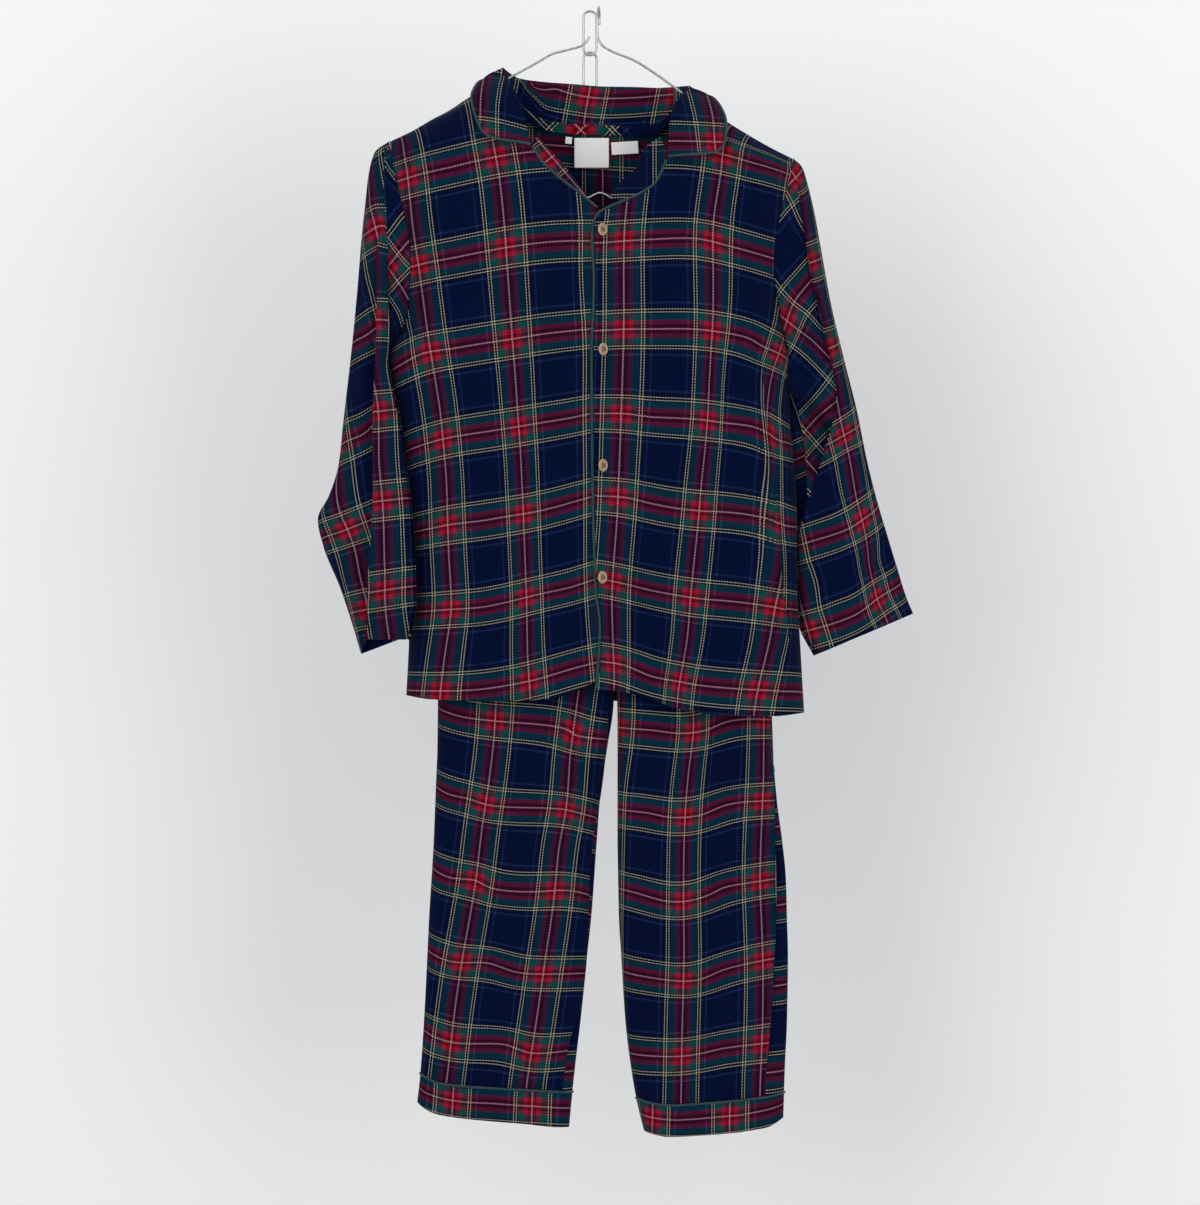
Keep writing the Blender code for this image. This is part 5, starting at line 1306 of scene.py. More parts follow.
# %% [markdown]
# The collar is cut with its threads running round the neck, so on the leaves the lines that ran
# round the neck stand upright.

# %% Check on the collar
LEAF_LEFT_S = [
    (0, [(-111.8, -73.5), (-113.5, -107.3)]),
    (0.2, [(-92.2, -61.8), (-97.4, -98.8), (-97.4, -126.2)]),
]
LEAF_LEFT_T = [
    (-0.2, [(-112.7, -109.3), (-97.4, -111.7), (-67.6, -119.3)]),
    (0, [(-112.7, -127.2), (-67.6, -137)]),
]
LEAF_RIGHT_S = [
    (-0.2, [(84.2, -80.4), (90.9, -114.3), (94.3, -141.5)]),
    (0, [(102.8, -87.1), (107.1, -107.3), (108.8, -134.6)]),
]
LEAF_RIGHT_T = [
    (-0.2, [(66.5, -113.4), (92, -114.3), (117, -115.2)]),
    (0, [(66.5, -131.1), (92, -131.6), (117, -132)]),
]
STAND_S = [
    (-0.2, [(-27.9, -75), (-34.7, -112.1)]),
    (0, [(-9.5, -77), (-16.2, -117.8)]),
    (0.2, [(7.6, -77), (0, -117.8)]),
    (0.8, [(56.1, -77), (48.5, -117.8)]),
]
STAND_T = [
    (0, [(-64.5, -77.5), (-43.7, -77.9), (-27.9, -82.7), (-4.8, -86.5), (69.4, -84.6)]),
    (0.2, [(-80.5, -66.8), (-71.2, -76.1), (-63.8, -84.4), (-55.1, -94.5), (-31.8, -100.3),
        (-4.8, -104.2), (57, -102.2)]),
]
print("collar: a lattice each for the stand and the two leaves")

# %% [markdown]
# The inner face shows the stand at the back of the neck and the outer face shows the leaves. What
# neither shows is given a plain lattice that follows the seam round the neck.

# %% Cut the collar
COLLAR_COLUMNS, COLLAR_ROWS, LEAF_FROM = 150, 30, 12     # the leaf starts at this row
BACK_MIDDLE = 75           # column at the middle of the back


def same_place(x, z):
    return x, z


base = collar_columns(COLLAR_COLUMNS)
grid = finer(base, COLLAR_ROWS)
x, y, z = (grid[..., k] for k in range(3))
along = np.cumsum(np.r_[0.0, np.linalg.norm(np.diff(base[:, 3], axis=0), axis=1)])
along = (along - along[BACK_MIDDLE])[:, None] / SETT
out = np.cumsum(np.linalg.norm(np.diff(grid, axis=1, prepend=grid[:, :1]), axis=2), axis=1) / SETT
round_neck = np.stack([along + 0 * out - 0.1, 0.45 - out], -1)
stand = lattice(STAND_S, STAND_T, same_place, 0.0)(x, z)
leaf_left = lattice(LEAF_LEFT_S, LEAF_LEFT_T, same_place, 30.0)(x, z)
leaf_right = lattice(LEAF_RIGHT_S, LEAF_RIGHT_T, same_place, 30.0)(x, z)
middle = ((x > -90.0) & (x < 70.0) & (y > np.where(x < -60.0, -16.0, 2.0)))[..., None]
inside = np.where(middle, stand, round_neck)
leaf = np.where((y > 6.0)[..., None], round_neck,
                np.where((x < 0)[..., None], leaf_left, leaf_right))
region = (np.arange(COLLAR_ROWS) >= LEAF_FROM).astype(int)
collar = cloth("jacket_collar", grid, [inside, leaf], region, wall=1.3)
grid_collar = grid
print("collar:", len(collar.data.polygons), "faces")

# %% [markdown]
# ## Neck tape and facings
# The back neck seam is bound with a bias strip of the same flannel, so its check runs slantwise.
# The facings turn back inside the open neck.

# %% Tape and facings
FACING_LEFT = [(-65, -136, -60, -128, 10), (-57, -149.5, -45, -143, 12),
               (-42, -166.5, -31, -159, 12), (-27, -178.5, -20, -174, 10),
               (-16.5, -187, -12, -183, 8)]
FACING_RIGHT = [(64, -146, 57, -127, 16), (60, -158.5, 40, -141, 19),
                (52, -173.5, 35, -156, 19), (41, -182, 22, -168, 17),
                (22, -192, 9, -184, 11)]


def bias(x, z, turn=0.785, s0=0.0, t0=0.0):
    s = (x * np.cos(turn) + z * np.sin(turn)) / SETT + s0
    t = (x * np.sin(turn) - z * np.cos(turn)) / SETT + t0
    return np.stack([s, t], -1)


def facing(name, rows, reader):
    """Strip of facing that lies inside the open neck, from the edge back into the jacket."""
    station = np.linspace(0, len(rows) - 1, 60)
    ex, ez, ix, iz, behind = through(rows, station).T
    start = np.stack([ex, front_y(ex, ez) + 1.5 + 0.7, ez], 1)
    end = np.stack([ix, front_y(ex, ez) + behind, iz], 1)
    middle = (start + end) / 2 + (0.0, -1.5, 0.0)
    grid = finer(np.stack([start, middle, end], 1), 14)
    return cloth(name, grid, [reader(grid[..., 0], grid[..., 2])], wall=0.8, toward="back")


facing_left = facing("facing_left_cloth", FACING_LEFT,
                     lambda x, z: bias(x, z, 0.70, 1.507, -0.972))
facing_right = facing("facing_right_cloth", FACING_RIGHT,
                      lambda x, z: np.stack([(51.5 - x) / SETT + 0.208, (-202.5 - z) / SETT], -1))
print("facings:", len(facing_left.data.polygons), len(facing_right.data.polygons), "faces")

# %% [markdown]
# The tape is laid over the back part of the neck seam, its edges curled a little toward the cloth.

# %% Neck tape
TAPE_COLUMNS = slice(46, 101)          # the part of the collar's seam that the tape covers
TAPE_STRETCH = 0.83                    # the check looks larger on the tape, which was pulled
tape = []
for rise in np.linspace(4.5, -5.5, 9):
    curl = -1.7 - 0.25 * np.cos(rise * 0.6)
    tape.append(base[TAPE_COLUMNS, 0] * (0.985, 1.0, 1.0) + (0.0, curl, rise))
tape = np.array(tape)
tape_map = bias(tape[..., 0] * TAPE_STRETCH, tape[..., 2] * TAPE_STRETCH, 0.785, 0.929, -0.679)
neck_tape = cloth("neck_tape_cloth", tape, [tape_map], wall=0.8, toward="back")
print("neck tape:", len(neck_tape.data.polygons), "faces")

# %% [markdown]
# ## Piping, wire and chain
# Piping is a cord wrapped in a bias strip and caught in the seam; the wire hanger and its chain
# are round too. All of them are one function: a round section carried along a path.

# %% Round sections along a path
def smooth_path(points, per_span):
    """More points along a path, read smoothly."""
    return through(points, np.linspace(0, len(points) - 1, (len(points) - 1) * per_span + 1))


def tube(name, path, radius, sides=12, closed=False, uneven=0.0):
    """Round cord or wire along a path; uneven gives a sewn cord its slight lumps."""
    path = np.asarray(path, float)
    count = len(path)
    ahead = (np.roll(path, -1, axis=0) - np.roll(path, 1, axis=0)) if closed \
        else np.gradient(path, axis=0)
    ahead = unit(ahead)
    side = np.cross(ahead[0], (0.0, 1.0, 0.0))
    if np.linalg.norm(side) < 0.2:
        side = np.cross(ahead[0], (1.0, 0.0, 0.0))
    rng = np.random.default_rng(3)
    swell = 1 + uneven * np.sin(np.cumsum(rng.uniform(0.2, 1.3, count)))
    turn = 2 * np.pi * np.arange(sides) / sides
    points = []
    for i in range(count):
        side = unit(side - ahead[i] * np.dot(side, ahead[i]))
        other = np.cross(ahead[i], side)
        ring = np.cos(turn)[:, None] * side + np.sin(turn)[:, None] * other
        points += list(path[i] + radius * swell[i] * ring)
    faces, plan = [], []
    total = count if closed else count - 1
    for i in range(total):
        n = (i + 1) % count
        for s in range(sides):
            t = (s + 1) % sides
            faces.append((i * sides + s, i * sides + t, n * sides + t, n * sides + s))
            u0, u1 = 0.02 + 0.86 * s / sides, 0.02 + 0.86 * (s + 1) / sides
            v0, v1 = 0.02 + 0.96 * i / total, 0.02 + 0.96 * (i + 1) / total
            plan += [(u0, v0), (u1, v0), (u1, v1), (u0, v1)]
    smooth = [True] * len(faces)
    if not closed:
        for row, v in ((0, 0.25), (count - 1, 0.75)):
            order = range(sides - 1, -1, -1) if row == 0 else range(sides)
            faces.append(tuple(row * sides + s for s in order))
            smooth.append(False)
            plan += [(0.94 + 0.03 * np.cos(turn[s]), v + 0.03 * np.sin(turn[s])) for s in order]
    return add_piece(name, points, faces, smooth, {"OFBake": plan})

# %% [markdown]
# Piping is caught in the seam so that it stands just off the edge, never on the face of the cloth.

# %% Places beside an edge
def beside(points, offset):
    """Points moved off an edge, square to it in the front plane."""
    points = np.asarray(points, float)
    ahead = np.gradient(points, axis=0)
    square = np.stack([ahead[:, 2], np.zeros(len(points)), -ahead[:, 0]], axis=1)
    square = unit(square)
    return points + square * offset + (0.0, 0.7, 0.0)

# %% [markdown]
# The piping follows the collar's edge, the neck and front edges, and the seam of each cuff.

# %% Piping
PIPING_RADIUS = 1.1
reach = PIPING_RADIUS + SEAM + 0.25
x = np.linspace(64.2, EDGE_RIGHT[0][1], 46)
z = curve(NECK_RIGHT, x)
neck = np.stack([x, right_front_y(x, z), z], 1)
z = np.linspace(EDGE_RIGHT[0][0], -650.0, 110)[1:]
x = edge_right(z)
down = np.stack([x, right_front_y(x, z), z], 1)
piping_front_right = tube("piping_edge_right", beside(np.concatenate([neck, down]), reach),
                          PIPING_RADIUS, uneven=0.05)
x = np.linspace(-65.5, -3.0, 48)
z = curve(NECK_LEFT, x)
piping_front_left = tube("piping_edge_left",
                         beside(np.stack([x, front_y(x, z), z], 1), -reach),
                         PIPING_RADIUS, uneven=0.05)
edge = np.concatenate([grid_collar[0, 13:-1:2], base[:, -1], grid_collar[-1, 13:-1:2][::-1]])
inner = np.concatenate([grid_collar[2, 13:-1:2], base[:, -2], grid_collar[-3, 13:-1:2][::-1]])
path = edge + unit(edge - inner) * (PIPING_RADIUS + 0.15)
for _ in range(3):
    path[1:-1] = (path[:-2] + 2 * path[1:-1] + path[2:]) / 4
piping_collar = tube("piping_collar_edge", path + (0.0, -0.6, 0.0), PIPING_RADIUS, uneven=0.05)


def round_cuff(name, ring):
    """Piping round the seam between leg and cuff."""
    out = (ring - ring.mean(axis=0)) * (1, 8, 0)
    ahead = np.roll(ring, -1, axis=0) - np.roll(ring, 1, axis=0)
    normal = np.stack([-ahead[:, 1], ahead[:, 0], np.zeros(len(ring))], 1)
    normal = unit(normal)
    facing_out = np.sign(np.sum(normal * out, axis=1))[:, None]
    return tube(name, ring + normal * facing_out * 0.45, PIPING_RADIUS * 0.9, sides=8,
                closed=True, uneven=0.04)


piping_cuff_left = round_cuff("piping_cuff_seam_left", ring_left)
piping_cuff_right = round_cuff("piping_cuff_seam_right", ring_right)
print("front piping:", round(float(np.linalg.norm(np.diff(down, axis=0), axis=1).sum())), "mm long")

# %% [markdown]
# The hanger is one length of bright wire bent into hook, arms and bar. Behind it two long links of
# chain hang from the same hook, and inside the jacket a plain bar with two clips holds the
# trousers.

# %% Hanger wire
WIRE_RADIUS = 1.4
# Flat part of the wire in one run: left arm, bottom bar, right arm and neck (x, z).
WIRE_FLAT = [(-9.8, -31), (-12.5, -35.5), (-18, -39.9), (-30, -43.4), (-44.2, -47.1), (-62, -57),
             (-85, -69.6), (-98, -77.6), (-113, -88), (-128, -97.5), (-145, -107.5), (-162, -117.5),
             (-177, -126.5), (-185, -133.5), (-188, -142), (-186, -151), (-178, -158),
             (-150, -163), (-80, -174), (-12.5, -184), (-6, -181.5), (0, -179.6), (6, -181.5),
             (12.5, -184.5), (80, -179.5), (140, -174), (164, -170.5), (172, -163.5), (173, -155),
             (167, -148), (150, -137), (132, -126), (116, -115.5), (100, -102.5), (86, -91),
             (74, -81.7), (53, -66.5), (31, -52.9), (11, -44.9), (1, -38), (-2.5, -28),
             (-2.6, -14)]
# Hook, bent back over the rail (x, y, z).
WIRE_HOOK = [(-1.6, 4.5, -4), (-1, 12, -1.4), (-0.6, 19.5, -4.2), (-0.4, 24, -11),
             (-0.4, 24.6, -17)]
WIRE_SLIM = 0.8            # the wire that shows is slimmer than the CAD part's
wire = [(x, 0, z) for x, z in WIRE_FLAT] + WIRE_HOOK
hanger = tube("wire_hanger", smooth_path(wire, 6), WIRE_RADIUS * WIRE_SLIM)
print("hanger:", len(wire), "bends")

# %% [markdown]
# A chain link is two half rounds joined by straight sides. The trouser bar is a guess at what the
# jacket hides: a hook, a rod, and the two clips of the CAD part, which keep their shape.

# %% Chain and trouser bar
#         link                  y      top    bottom
CHAIN = [("chain_link_upper", 30, -3.5, -45.5), ("chain_link_lower", 44, -41.5, -112)]
CHAIN_X = -9.6
LINK_HALF = 6.2
LINK_RADIUS = 1.25

# Plain trouser hanger inside the jacket: its hook, its bar, and two bent clips on the waistband.
TROUSER_HOOK = [(0, 2.6, -180), (0, 3.6, -180.9), (0, 4.6, -184), (0, 3, -192),
                (0, 0.5, -202), (0, 0, -214), (0, 0, -258)]
TROUSER_BAR = [(-120, 0, -262), (0, 0, -262), (132, 0, -262)]


def link_path(x, y, z_top, z_low, half, per_end=12):
    """Long oval chain link, upright."""
    turn = np.pi * np.arange(per_end + 1) / per_end
    top = [(x + half * np.cos(a), y, z_top - half + half * np.sin(a)) for a in turn]
    low = [(x + half * np.cos(a), y, z_low + half + half * np.sin(a)) for a in turn + np.pi]
    return top + low


links = [tube(name.replace("chain_link", "link"), link_path(CHAIN_X, y, top, low, LINK_HALF),
              LINK_RADIUS, closed=True) for name, y, top, low in CHAIN]
hook = tube("trouser_bar_hook", smooth_path(TROUSER_HOOK, 6), 1.2)
bar = tube("trouser_bar_rod", smooth_path(TROUSER_BAR, 8), 2.0, sides=16)
print("chain links:", len(links))

# %% [markdown]
# ## Buttons
# The buttons are turned from pale wood: a hollow face with a rim, four thread holes, and two
# bars of thread through them. A profile is spun round the middle and the holes are cut out.

# %% Turned piece
BUTTON_DIAMETER, BUTTON_THICK = 12.0, 2.4
HOLE_RADIUS, HOLE_AT = 0.85, 1.5
#                  out   high   section of the button, of its radius and thickness
BUTTON_SECTION = [(0.30, 0.30), (0.62, 0.33), (0.72, 0.42), (0.8, 0.5), (0.88, 0.5), (0.95, 0.4),
                  (1.0, 0.15), (1.0, -0.15), (0.93, -0.42), (0.8, -0.5)]


def spin(name, section, radius, thick, ring=40):
    """Turned piece: its section spun round the axis that faces front."""
    turn = 2 * np.pi * np.arange(ring) / ring
    points = [(0.0, -section[0][1] * thick, 0.0)]
    for out, high in section:
        points += [(radius * out * np.cos(a), -high * thick, radius * out * np.sin(a)) for a in turn]
    points.append((0.0, -section[-1][1] * thick, 0.0))
    end, base_at = len(points) - 1, 1 + (len(section) - 1) * ring
    faces = [(0, 1 + (s + 1) % ring, 1 + s) for s in range(ring)]
    for k in range(len(section) - 1):
        for s in range(ring):
            a, b = 1 + k * ring + s, 1 + k * ring + (s + 1) % ring
            faces.append((a, b, b + ring, a + ring))
    faces += [(end, base_at + s, base_at + (s + 1) % ring) for s in range(ring)]
    plan = []
    for f in faces:
        side = 0.25 if min(f) < 1 + 6 * ring else 0.75
        plan += [(side + 0.2 * points[v][0] / radius, 0.5 + 0.4 * points[v][2] / radius) for v in f]
    return add_piece(name, points, faces, [True] * len(faces), {"OFBake": plan})


button = spin("button_master", BUTTON_SECTION, BUTTON_DIAMETER / 2, BUTTON_THICK)
print("button:", BUTTON_DIAMETER, "mm across")

# %% [markdown]
# The holes are really cut, with a Boolean, so that the thread can be seen to pass through them.

# %% Thread holes
def pierce(obj, radius, at):
    """Cut four thread holes straight through."""
    for dx in (-at, at):
        for dz in (-at, at):
            bpy.ops.mesh.primitive_cylinder_add(vertices=16, radius=radius * MM, depth=8 * MM,
                                                location=(dx * MM, 0, dz * MM),
                                                rotation=(np.pi / 2, 0, 0))
            cutter = bpy.context.object
            cut = obj.modifiers.new("hole", "BOOLEAN")
            cut.object, cut.operation, cut.solver = cutter, "DIFFERENCE", "EXACT"
            bpy.context.view_layer.update()
            mesh = bpy.data.meshes.new_from_object(
                obj.evaluated_get(bpy.context.evaluated_depsgraph_get()))
            obj.modifiers.clear()
            obj.data = mesh
            bpy.data.objects.remove(cutter)


pierce(button, HOLE_RADIUS, HOLE_AT)
print("holes cut:", len(button.data.polygons), "faces")

# %% [markdown]
# The four buttons are copies of one, turned with the lap of the front, each with two bars of
# thread drawn down into the cloth.

# %% Four buttons
BUTTONS = [(2.4, -217.2), (3.1, -330.0), (2.9, -439.4), (2.3, -544.8)]
BUTTON_TURN = 50.0         # degrees about the upright, as the lap turns
turn = np.radians(BUTTON_TURN)
buttons, stitches = [], []


def set_on_lap(piece, x, y, z):
    """Turn a piece with the lap and put it in place."""
    piece.rotation_euler = (0.0, 0.0, turn)
    piece.location = (x * MM, y * MM, z * MM)


for index, (x, z) in enumerate(BUTTONS):
    deep = float(right_front_y(np.float64(x), np.float64(z)))
    y = deep - 0.5 - BUTTON_THICK / 2 - BUTTON_DIAMETER / 2 * np.sin(turn) * 0.95
    one = bpy.data.objects.new(f"wood_button_{index + 1}", button.data.copy())
    bpy.context.scene.collection.objects.link(one)
    set_on_lap(one, x, y, z)
    buttons.append(one)
    for k, side in enumerate((-HOLE_AT, HOLE_AT)):
        face = -0.30 * BUTTON_THICK
        path = [(side, 2.2, -HOLE_AT), (side, face + 0.3, -HOLE_AT),
                (side, face - 0.45, -HOLE_AT * 0.6), (side, face - 0.6, 0.0),
                (side, face - 0.45, HOLE_AT * 0.6), (side, face + 0.3, HOLE_AT),
                (side, 2.2, HOLE_AT)]
        thread = tube(f"button_thread_{index + 1}_{k + 1}", smooth_path(path, 3), 0.38, sides=8)
        set_on_lap(thread, x, y, z)
        stitches.append(thread)
bpy.data.objects.remove(button)
print("buttons:", len(buttons), "with", len(stitches), "bars of thread")

# %% [markdown]
# ## Labels
# Three blank woven labels hang from the neck tape: a wide one, a small one beside it, and a narrow
# loop. They bear no words.

# %% Labels
#                     name          x0     x1    z low   z high  tilt
LABELS = [("label_main", -24.5, 8.5, -154, -125.5, 0),
          ("label_care", 11, 36.5, -141, -129, 0.06),
          ("label_loop", -33, -26.8, -131, -124.5, -0.1)]
labels = []
for name, x0, x1, z0, z1, tilt in LABELS:
    y0 = float(back_y(np.float64((x0 + x1) / 2), np.float64(z0))) - 1.5 - 5.4
    cx, cz = (x0 + x1) / 2, (z0 + z1) / 2
    dz, dx = np.meshgrid(np.linspace(z1, z0, 22) - cz, np.linspace(x0, x1, 26) - cx, indexing="ij")
    wave = 0.35 * np.sin(dx / 5.5 + 1.0) * (z1 - cz - dz) / (z1 - z0)
    grid = np.stack([cx + dx * np.cos(tilt) - dz * np.sin(tilt), y0 - 0.25 + wave,
                     cz + dx * np.sin(tilt) + dz * np.cos(tilt)], -1)
    plan = np.stack([dx / (x1 - x0) + 0.5, dz / (z1 - z0) + 0.5], -1)
    labels.append(cloth(name + "_woven", grid, [plan], wall=0.5, toward="back"))
print("labels:", len(labels))

# %% [markdown]
# ## Woven check as node groups
# A tartan is the same order of coloured threads both ways. `Stripe order` turns a place along
# that order into a thread colour and two masks, one for the single white line and one for the
# cream pair. `Tartan check` crosses two of them. A group gives out only colours and masks; the
# shader stays in each material.

# %% Node helpers
def node(tree, kind, **settings):
    made = tree.nodes.new(kind)
    for key, value in settings.items():
        setattr(made, key, value)
    return made


def plug(tree, value, socket):
    """Set a socket to a number or colour, or join it to another socket."""
    if isinstance(value, bpy.types.NodeSocket):
        tree.links.new(value, socket)
    else:
        socket.default_value = value


def maths(tree, operation, *values):
    made = node(tree, "ShaderNodeMath", operation=operation)
    for k, value in enumerate(values):
        plug(tree, value, made.inputs[k])
    return made.outputs[0]


def smooth_step(tree, value, low, high, to_low=0.0, to_high=1.0):
    made = node(tree, "ShaderNodeMapRange", interpolation_type="SMOOTHSTEP")
    for socket, v in zip(("Value", "From Min", "From Max", "To Min", "To Max"),
                         (value, low, high, to_low, to_high)):
        plug(tree, v, made.inputs[socket])
    return made.outputs["Result"]


def mixed(tree, share, first, second, blend="MIX"):
    made = node(tree, "ShaderNodeMix", data_type="RGBA", blend_type=blend)
    plug(tree, share, made.inputs[0])
    plug(tree, first, made.inputs[6])
    plug(tree, second, made.inputs[7])
    return made.outputs[2]


def noise(tree, place, scale, detail):
    """Even noise over a place socket; returns its value."""
    made = node(tree, "ShaderNodeTexNoise")
    plug(tree, place, made.inputs["Vector"])
    plug(tree, scale, made.inputs["Scale"])
    made.inputs["Detail"].default_value = detail
    return made.outputs[0]


def relief(tree, height, strength, distance, shader):
    """Shallow bump into the shader's normal."""
    bump = node(tree, "ShaderNodeBump")
    bump.inputs["Strength"].default_value = strength
    bump.inputs["Distance"].default_value = distance
    tree.links.new(height, bump.inputs["Height"])
    tree.links.new(bump.outputs[0], shader.inputs["Normal"])


def group(name, inputs, outputs):
    """Empty node group with named sockets; returns the tree and its two ends."""
    tree = bpy.data.node_groups.new(name, "ShaderNodeTree")
    for kind, label, value in inputs:
        socket = tree.interface.new_socket(name=label, in_out="INPUT", socket_type=kind)
        if value is not None:
            socket.default_value = value
    for kind, label in outputs:
        tree.interface.new_socket(name=label, in_out="OUTPUT", socket_type=kind)
    return tree, node(tree, "NodeGroupInput"), node(tree, "NodeGroupOutput")


FLOAT, COLOUR, VECTOR = "NodeSocketFloat", "NodeSocketColor", "NodeSocketVector"
print("node helpers ready")

# %% [markdown]
# The order of threads, measured from a white line outwards to the middle of the ground: dark red,
# bright red, green, a fine black edge, the cream pair, then navy with one faint blue line.

# %% Stripe order
#          mm from the white line, thread colour
THREADS = [(0, (0.092, 0.0012, 0.0045)), (4.1, (0.092, 0.0012, 0.0045)),
           (4.8, (0.262, 0.0066, 0.0250)), (8.2, (0.262, 0.0066, 0.0250)),
           (9.2, (0.0023, 0.048, 0.048)), (14.2, (0.0023, 0.048, 0.048)),
           (15.3, (0.0012, 0.003, 0.006)), (20.6, (0.0012, 0.0022, 0.008)),
           (22.2, (0.0009, 0.0036, 0.024)), (24.2, (0.0009, 0.0036, 0.024)),
           (24.7, (0.0108, 0.0263, 0.072)), (26.1, (0.0108, 0.0263, 0.072)),
           (26.6, (0.0009, 0.0036, 0.024)), (43, (0.0009, 0.0036, 0.024))]
HALF_SETT = SETT / 2
CREAM_MIDDLE, CREAM_APART = 17.8, 1.42

order, start, end = group("Stripe order", [(FLOAT, "Place", 0.0)],
                          [(COLOUR, "Thread"), (FLOAT, "White line"), (FLOAT, "Cream pair")])
part_of = maths(order, "FRACT", maths(order, "ADD", start.outputs["Place"], 0.5))
away = maths(order, "MULTIPLY", maths(order, "ABSOLUTE", maths(order, "SUBTRACT", part_of, 0.5)), 2.0)
threads = node(order, "ShaderNodeValToRGB")
order.links.new(away, threads.inputs[0])
stops = threads.color_ramp.elements
while len(stops) < len(THREADS):
    stops.new(0.5)
for stop, (place, colour) in zip(stops, THREADS):
    stop.position = place / HALF_SETT
    stop.color = (*colour, 1.0)
order.links.new(threads.outputs[0], end.inputs["Thread"])
mm_away = maths(order, "MULTIPLY", away, HALF_SETT)
order.links.new(smooth_step(order, mm_away, 0.35, 0.95, 1.0, 0.0), end.inputs["White line"])
from_pair = maths(order, "ABSOLUTE", maths(order, "SUBTRACT", mm_away, CREAM_MIDDLE))
from_line = maths(order, "ABSOLUTE", maths(order, "SUBTRACT", from_pair, CREAM_APART))
order.links.new(smooth_step(order, from_line, 0.12, 0.62, 1.0, 0.0), end.inputs["Cream pair"])
print("stripe order:", len(THREADS), "stops over", HALF_SETT, "mm")

# %% [markdown]
# Where two stripes cross, about half the threads on the face are of each colour, a few more of
# them weft. Brushing blends them: each colour is taken to a low power, the two are mixed, and
# the mix is taken back. The fine lines lie over it, broken into short dashes by the twill.

# %% Tartan check
WEFT_SHARE = 0.56          # share of the face that is weft
BLEND = 0.3                # power in which the two colours are mixed
DASH_STEP, TWILL_STEP = 2.8, 1.3       # mm from dash to dash, and from rib to rib

check, start, end = group(
    "Tartan check",
    [(VECTOR, "Sett", None), (FLOAT, "White cover", 0.3), (FLOAT, "Cream cover", 0.4),
     (FLOAT, "Dash", 0.5), (COLOUR, "White", (0.75, 0.38, 0.50, 1.0)),
     (COLOUR, "Cream", (0.74, 0.70, 0.50, 1.0)), (FLOAT, "Mottle", 0.2)],
    [(COLOUR, "Colour"), (FLOAT, "Nap"), (FLOAT, "Twill")])
axes = node(check, "ShaderNodeSeparateXYZ")
check.links.new(start.outputs["Sett"], axes.inputs[0])
ends = []
for axis in (0, 1):
    stripes = node(check, "ShaderNodeGroup", node_tree=order)
    check.links.new(axes.outputs[axis], stripes.inputs["Place"])
    ends.append(stripes)
eased = []
for side in ends:
    soft = node(check, "ShaderNodeGamma")
    check.links.new(side.outputs["Thread"], soft.inputs[0])
    soft.inputs[1].default_value = BLEND
    eased.append(soft.outputs[0])
ground = node(check, "ShaderNodeGamma")
check.links.new(mixed(check, WEFT_SHARE, eased[0], eased[1]), ground.inputs[0])
ground.inputs[1].default_value = 1 / BLEND
in_mm = node(check, "ShaderNodeVectorMath", operation="SCALE")
check.links.new(start.outputs["Sett"], in_mm.inputs[0])
in_mm.inputs["Scale"].default_value = SETT
mm_axes = node(check, "ShaderNodeSeparateXYZ")
check.links.new(in_mm.outputs[0], mm_axes.inputs[0])
diagonal = maths(check, "ADD", mm_axes.outputs[0], mm_axes.outputs[1])
dash_wave = maths(check, "SINE", maths(check, "MULTIPLY", diagonal, 2 * np.pi / DASH_STEP))
dash = maths(check, "MULTIPLY", dash_wave, start.outputs["Dash"])
over = [maths(check, "ADD", 1.0, dash), maths(check, "SUBTRACT", 1.0, dash)]
colour = ground.outputs[0]
for line, cover, thread in (("White line", "White cover", "White"),
                            ("Cream pair", "Cream cover", "Cream")):
    for axis in (0, 1):
        amount = maths(check, "MULTIPLY", ends[axis].outputs[line], start.outputs[cover])
        amount = maths(check, "MULTIPLY", amount, over[axis])
        colour = mixed(check, amount, colour, start.outputs[thread])

# %% [markdown]
# The cloth is mottled: slow clouds from the dyeing and fine fibres from the brushing. The twill is
# given out as a height of its own, so that each material can set how deep it is.

# %% Mottle, nap and twill
cloud = noise(check, in_mm.outputs[0], 0.16, 4.0)
fibre = noise(check, in_mm.outputs[0], 1.3, 3.0)
both = maths(check, "ADD", cloud, fibre)
lift = maths(check, "MULTIPLY", maths(check, "SUBTRACT", both, 1.0), start.outputs["Mottle"])
shade = node(check, "ShaderNodeHueSaturation")
check.links.new(colour, shade.inputs["Color"])
check.links.new(maths(check, "ADD", 1.0, maths(check, "MULTIPLY", lift, 3.0)), shade.inputs["Value"])
check.links.new(shade.outputs[0], end.inputs["Colour"])
check.links.new(fibre, end.inputs["Nap"])
across = maths(check, "SUBTRACT", mm_axes.outputs[0], mm_axes.outputs[1])
twill = maths(check, "SINE", maths(check, "MULTIPLY", across, 2 * np.pi / TWILL_STEP))
check.links.new(twill, end.inputs["Twill"])
print("tartan check:", len(check.nodes), "nodes")

# %% [markdown]
# ## Flannel
# Each cloth piece has its own material, so a maker can change one without the others. The nap
# scatters light at grazing angles, so the shader has a soft sheen and almost no gloss. The twill
# and nap are a very shallow bump.

# %% Flannel material
FLANNEL = {"White cover": 0.27, "Cream cover": 0.30, "Dash": 0.8, "Mottle": 0.14}


